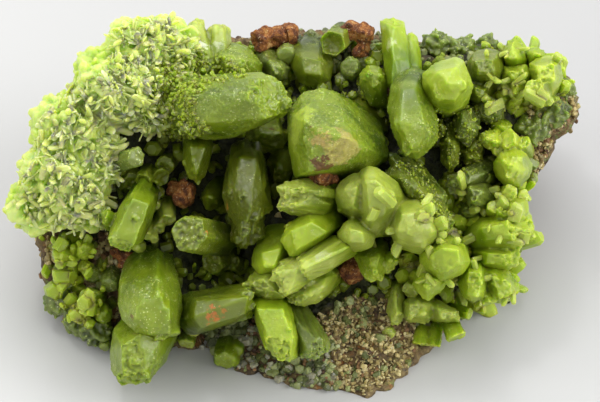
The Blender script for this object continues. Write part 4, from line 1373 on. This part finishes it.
FIELD = [(60, 120), (120, 60), (240, 50), (380, 45), (500, 55), (560, 100), (530, 180), (515, 260), (470, 300), (420, 330), (360, 300), (250, 300), (180, 340), (90, 330), (50, 280)]
BOTTOM = [(318, 318), (350, 296), (400, 300), (424, 330), (410, 362), (386, 384), (366, 395), (330, 386), (308, 360)]
BOTTOM_LEFT = [(196, 340), (214, 318), (262, 318), (330, 336), (338, 388), (290, 384), (256, 368), (226, 372), (206, 352)]
LEFT_FLANK = [(44, 240), (110, 232), (124, 270), (118, 342), (72, 322), (52, 298)]
RIGHT_RIM = [(520, 70), (566, 82), (580, 114), (553, 136), (542, 166), (527, 184), (520, 150), (530, 120)]
TOP_RIM = [(236, 60), (250, 40), (300, 32), (380, 36), (480, 46), (520, 60), (500, 80), (400, 70), (300, 70)]
for args in (
    ("small_crystals", FIELD, 330, (3.5, 9.5), (7, 18), 0.38, small_green),
    ("small_grey_crystals", FIELD, 240, (3.0, 8.5), (5, 14), 0.42, small_grey),
    ("bottom_tan_grains", BOTTOM, 900, (0.8, 2.4), (3, 6), 0.8, tan_grain),
    ("bottom_brown_grains", BOTTOM, 150, (1.0, 2.6), (2, 4), 0.8, brown_grain),
    ("bottom_olive_grains", BOTTOM, 80, (1.6, 6.0), (3, 8), 0.6, olive_grain),
    ("lower_grey_grains", BOTTOM_LEFT, 120, (2.0, 6.0), (3, 7), 0.6, grey_grain),
    ("lower_brown_grains", BOTTOM_LEFT, 160, (1.0, 3.2), (3, 6), 0.8, brown_grain),
    ("lower_olive_grains", BOTTOM_LEFT, 220, (2.0, 6.5), (3, 8), 0.6, olive_grain),
    ("left_flank_grains", LEFT_FLANK, 260, (1.8, 5.0), (3, 9), 0.6, tan_grain),
    ("left_flank_brown", LEFT_FLANK, 90, (1.6, 4.5), (3, 8), 0.6, brown_grain),
    ("right_rim_grains", RIGHT_RIM, 420, (1.2, 3.4), (3, 7), 0.6, tan_grain),
    ("right_rim_brown", RIGHT_RIM, 60, (1.4, 4.0), (3, 7), 0.6, brown_grain),
    ("top_rim_grains", TOP_RIM, 260, (1.8, 5.0), (3, 8), 0.6, olive_grain),
):
    piece = strew(*args, rng)
    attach(piece, "root")

back = coords(rock.data)
back_out = normals(rock.data)
seat = np.flatnonzero((back_out @ OUT < 0.15) & (back[:, 2] > 0.0008))
for name, count, size, finish in (
    ("back_tan_grains", 330, (1.2, 4.6), tan_grain),
    ("back_brown_grains", 330, (1.4, 6.0), brown_grain),
    ("back_olive_grains", 260, (1.6, 6.5), olive_grain),
):
    chosen = rng.choice(seat, count)
    leaning = np.array([unit(back_out[k] + 0.5 * rng.normal(size=3)) for k in chosen])
    r = size[0] + (size[1] - size[0]) * rng.uniform(0, 1, count) ** 2
    piece = stubs(name, back[chosen] - leaning * (r * 0.7 * UNIT)[:, None], leaning, r * 1.5 * UNIT, r * UNIT, rng, finish, rng.uniform(0.6, 1.0, count))
    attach(piece, "root")

graph = bpy.context.evaluated_depsgraph_get()
everything = [BVHTree.FromObject(o, graph) for o in bpy.context.scene.objects if o.type == "MESH" and not o.hide_render and o.name.endswith(("_grown", "_rock", "_mass", "_prisms", "_crystals"))]
green_coat = crystal_material("green_coat_finish", "mid", 0.8, 801.0)
COAT_A = [(158, 62), (196, 50), (232, 60), (252, 68), (246, 78), (214, 84), (196, 96), (196, 118), (214, 128), (198, 136), (178, 142), (158, 132), (150, 100)]
COAT_SLAB = [(392, 160), (420, 164), (450, 214), (446, 236), (430, 214), (414, 186)]
COAT_RIGHT = [(436, 108), (484, 106), (500, 128), (476, 150), (490, 166), (470, 176), (444, 160), (430, 130)]
for name, polygon, count, size, long in (
    ("coat_on_upper_left", COAT_A, 520, (0.9, 3.2), (2.0, 5.0)),
    ("coat_on_slab", COAT_SLAB, 130, (0.8, 1.8), (1.2, 2.4)),
    ("coat_right_of_barrel", COAT_RIGHT, 180, (0.8, 2.2), (1.3, 3.0)),
):
    piece = strew(name, polygon, count, size, long, 0.55, green_coat, rng, sink=0.6, trees=everything)
    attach(piece, "root")

# small bright crystals that fill the gaps on the right and grow on the big ones there
small_fresh = crystal_material("small_fresh_finish", "fresh", 0.4, 821.0)
small_yellow = crystal_material("small_yellow_finish", "pale", 0.3, 822.0)
small_mid = crystal_material("small_mid_finish", "mid", 0.5, 823.0)
GAPS_RIGHT = [(424, 190), (470, 172), (500, 186), (540, 196), (540, 244), (524, 268), (520, 300), (470, 306), (424, 300), (396, 262), (420, 250), (444, 240)]
GAPS_TOP = [(226, 46), (262, 44), (300, 78), (330, 84), (380, 60), (400, 96), (384, 110), (350, 92), (310, 104), (284, 84), (252, 68)]
GAPS_UPPER_RIGHT = [(474, 56), (520, 44), (560, 56), (566, 90), (540, 112), (500, 110), (478, 104)]
GAPS_LOW = [(232, 240), (262, 232), (300, 262), (340, 300), (310, 320), (256, 300), (196, 290), (190, 262)]
ON_CLUSTER = [(334, 180), (372, 166), (402, 184), (440, 206), (446, 250), (420, 262), (384, 252), (344, 252), (334, 226)]
RIM_LEFT = [(42, 236), (84, 232), (104, 262), (104, 300), (88, 330), (60, 312), (48, 276)]
for name, polygon, count, size, long, lean, finish, sink in (
    ("gap_crystals_right", GAPS_RIGHT, 120, (4.0, 10.5), (18.0, 34.0), 0.28, small_fresh, 0.3),
    ("gap_crystals_right_yellow", GAPS_RIGHT, 50, (3.5, 9.5), (16.0, 30.0), 0.3, small_yellow, 0.3),
    ("ledge_crystals_right", GAPS_RIGHT, 30, (3.5, 8.5), (9.0, 15.0), 0.35, small_yellow, 0.55),
    ("gap_crystals_top", GAPS_TOP, 60, (3.0, 8.5), (9.0, 18.0), 0.35, small_mid, 0.4),
    ("gap_crystals_upper_right", GAPS_UPPER_RIGHT, 90, (3.0, 8.5), (14.0, 26.0), 0.35, small_fresh, 0.3),
    ("ledge_crystals_upper_right", GAPS_UPPER_RIGHT, 26, (2.5, 6.5), (9.0, 16.0), 0.45, small_yellow, 0.5),
    ("gap_crystals_low", GAPS_LOW, 40, (2.6, 7.5), (9.0, 18.0), 0.40, small_mid, 0.4),
    ("crystals_on_cluster", ON_CLUSTER, 12, (4.0, 9.5), (8.0, 15.0), 0.35, small_yellow, 0.65),
    ("rim_crystals_left", RIM_LEFT, 70, (3.0, 9.5), (6.0, 12.0), 0.4, small_fresh, 0.4),
):
    piece = strew(name, polygon, count, size, long, lean, finish, rng, sink=sink, flat=(0.55, 1.0), trees=[tree] if name.startswith("gap") else everything)
    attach(piece, "root")

# blades that lie every way on the bright crust, with sharp glassy faces
blade_finish = crystal_material("bright_blade_finish", "druse", 0.15, 811.0, coat=0.6, white=0.05, scatter=0.0022)
CRUST_LEFT = [(104, 72), (124, 88), (122, 130), (152, 122), (120, 152), (116, 186), (108, 226), (66, 236), (34, 226), (10, 204), (30, 160), (40, 118), (70, 88)]
CRUST_UPPER = [(112, 40), (130, 18), (172, 24), (196, 40), (196, 62), (160, 70), (156, 110), (160, 136), (128, 138), (124, 96), (96, 86)]
crust = [BVHTree.FromObject(bpy.data.objects[o], graph) for o in ("druse_left_mass", "druse_upper_left_mass")]
for name, polygon, count in (("blades_on_left_crust", CRUST_LEFT, 480), ("blades_on_upper_crust", CRUST_UPPER, 340)):
    piece = strew(name, polygon, count, (1.1, 4.4), (7.0, 17.0), 0.75, blade_finish, rng, sink=0.6, flat=(0.25, 0.7), trees=crust)
    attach(piece, "root")

# ---- floor, light and camera ----------------------------------------------------------------------------------------
bpy.ops.mesh.primitive_plane_add(size=3.0, location=(0, 0, 0))
floor = bpy.context.object
floor.name = "table_top"
paper, tree_, shader_ = new_material("table_top_finish")
n_ = Nodes(tree_)
cross_ = tree_.nodes.new("ShaderNodeVectorMath")
cross_.operation = "DOT_PRODUCT"
n_.put(n_.place, cross_.inputs[0])
cross_.inputs[1].default_value = (1.0, 0.72, 0.0)
shade_ = n_.blend(n_.span(cross_.outputs["Value"], -0.048, 0.048, smooth=False), (0.575, 0.575, 0.568), (0.440, 0.440, 0.440))
n_.put(n_.blend(n_.span(n_.noise(60.0, 3.0, 0.5, 1.0), 0.3, 0.7, 0.0, 0.05), shade_, (0.60, 0.60, 0.58)), shader_.inputs["Base Color"])
shader_.inputs["Roughness"].default_value = 0.85
floor.data.materials.append(paper)


def lamp(name, place, size, energy, colour=(1, 1, 1), aim=(0, 0, 0.008)):
    light = bpy.data.lights.new(name, "AREA")
    light.shape = "RECTANGLE"
    light.size, light.size_y = size
    light.energy = energy
    light.color = colour
    obj = bpy.data.objects.new(name, light)
    bpy.context.scene.collection.objects.link(obj)
    obj.location = place
    obj.rotation_euler = (Vector(aim) - Vector(place)).to_track_quat("-Z", "Y").to_euler()
    return obj


lamp("softbox_back", (-0.02, 0.30, 0.46), (0.54, 0.36), 1.75)
lamp("small_window", (-0.16, 0.16, 0.50), (0.07, 0.07), 0.34)
lamp("softbox_left", (-0.40, -0.08, 0.38), (0.40, 0.40), 0.55)
lamp("softbox_right", (0.42, -0.06, 0.30), (0.40, 0.40), 1.9)

world = bpy.data.worlds.new("room")
bpy.context.scene.world = world
world.use_nodes = True
sky = world.node_tree
turn_ = sky.nodes.new("ShaderNodeTexCoord").outputs["Generated"]
split_ = sky.nodes.new("ShaderNodeSeparateXYZ")
sky.links.new(turn_, split_.inputs[0])
rise_ = sky.nodes.new("ShaderNodeMapRange")
sky.links.new(split_.outputs["Z"], rise_.inputs["Value"])
for socket_, v_ in (("From Min", -0.1), ("From Max", 0.9), ("To Min", 0.62), ("To Max", 0.84)):
    rise_.inputs[socket_].default_value = v_
sky.nodes["Background"].inputs[0].default_value = (1.0, 1.0, 1.0, 1.0)
sky.links.new(rise_.outputs["Result"], sky.nodes["Background"].inputs[1])

camera = bpy.data.cameras.new("camera")
camera.sensor_width = 36.0
camera.lens = 36.0 * EYE / (600 * UNIT)
camera.clip_start, camera.clip_end = 0.01, 20.0
eye = bpy.data.objects.new("camera", camera)
bpy.context.scene.collection.objects.link(eye)
pose = Matrix((Vector(RIGHT), Vector(UP), Vector(OUT))).transposed().to_4x4()
pose.translation = Vector(CENTRE + np.array((0, 0, FACE_Z)) + OUT * EYE)
eye.matrix_world = pose
bpy.context.scene.camera = eye
bpy.context.scene.view_settings.view_transform = "Standard"

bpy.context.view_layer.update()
counts = sorted(((sum(len(f.vertices) - 2 for f in o.data.polygons), o.name) for o in bpy.context.scene.objects if o.type == "MESH"), reverse=True)
print("TRIANGLES", sum(c for c, _ in counts), counts[:12])
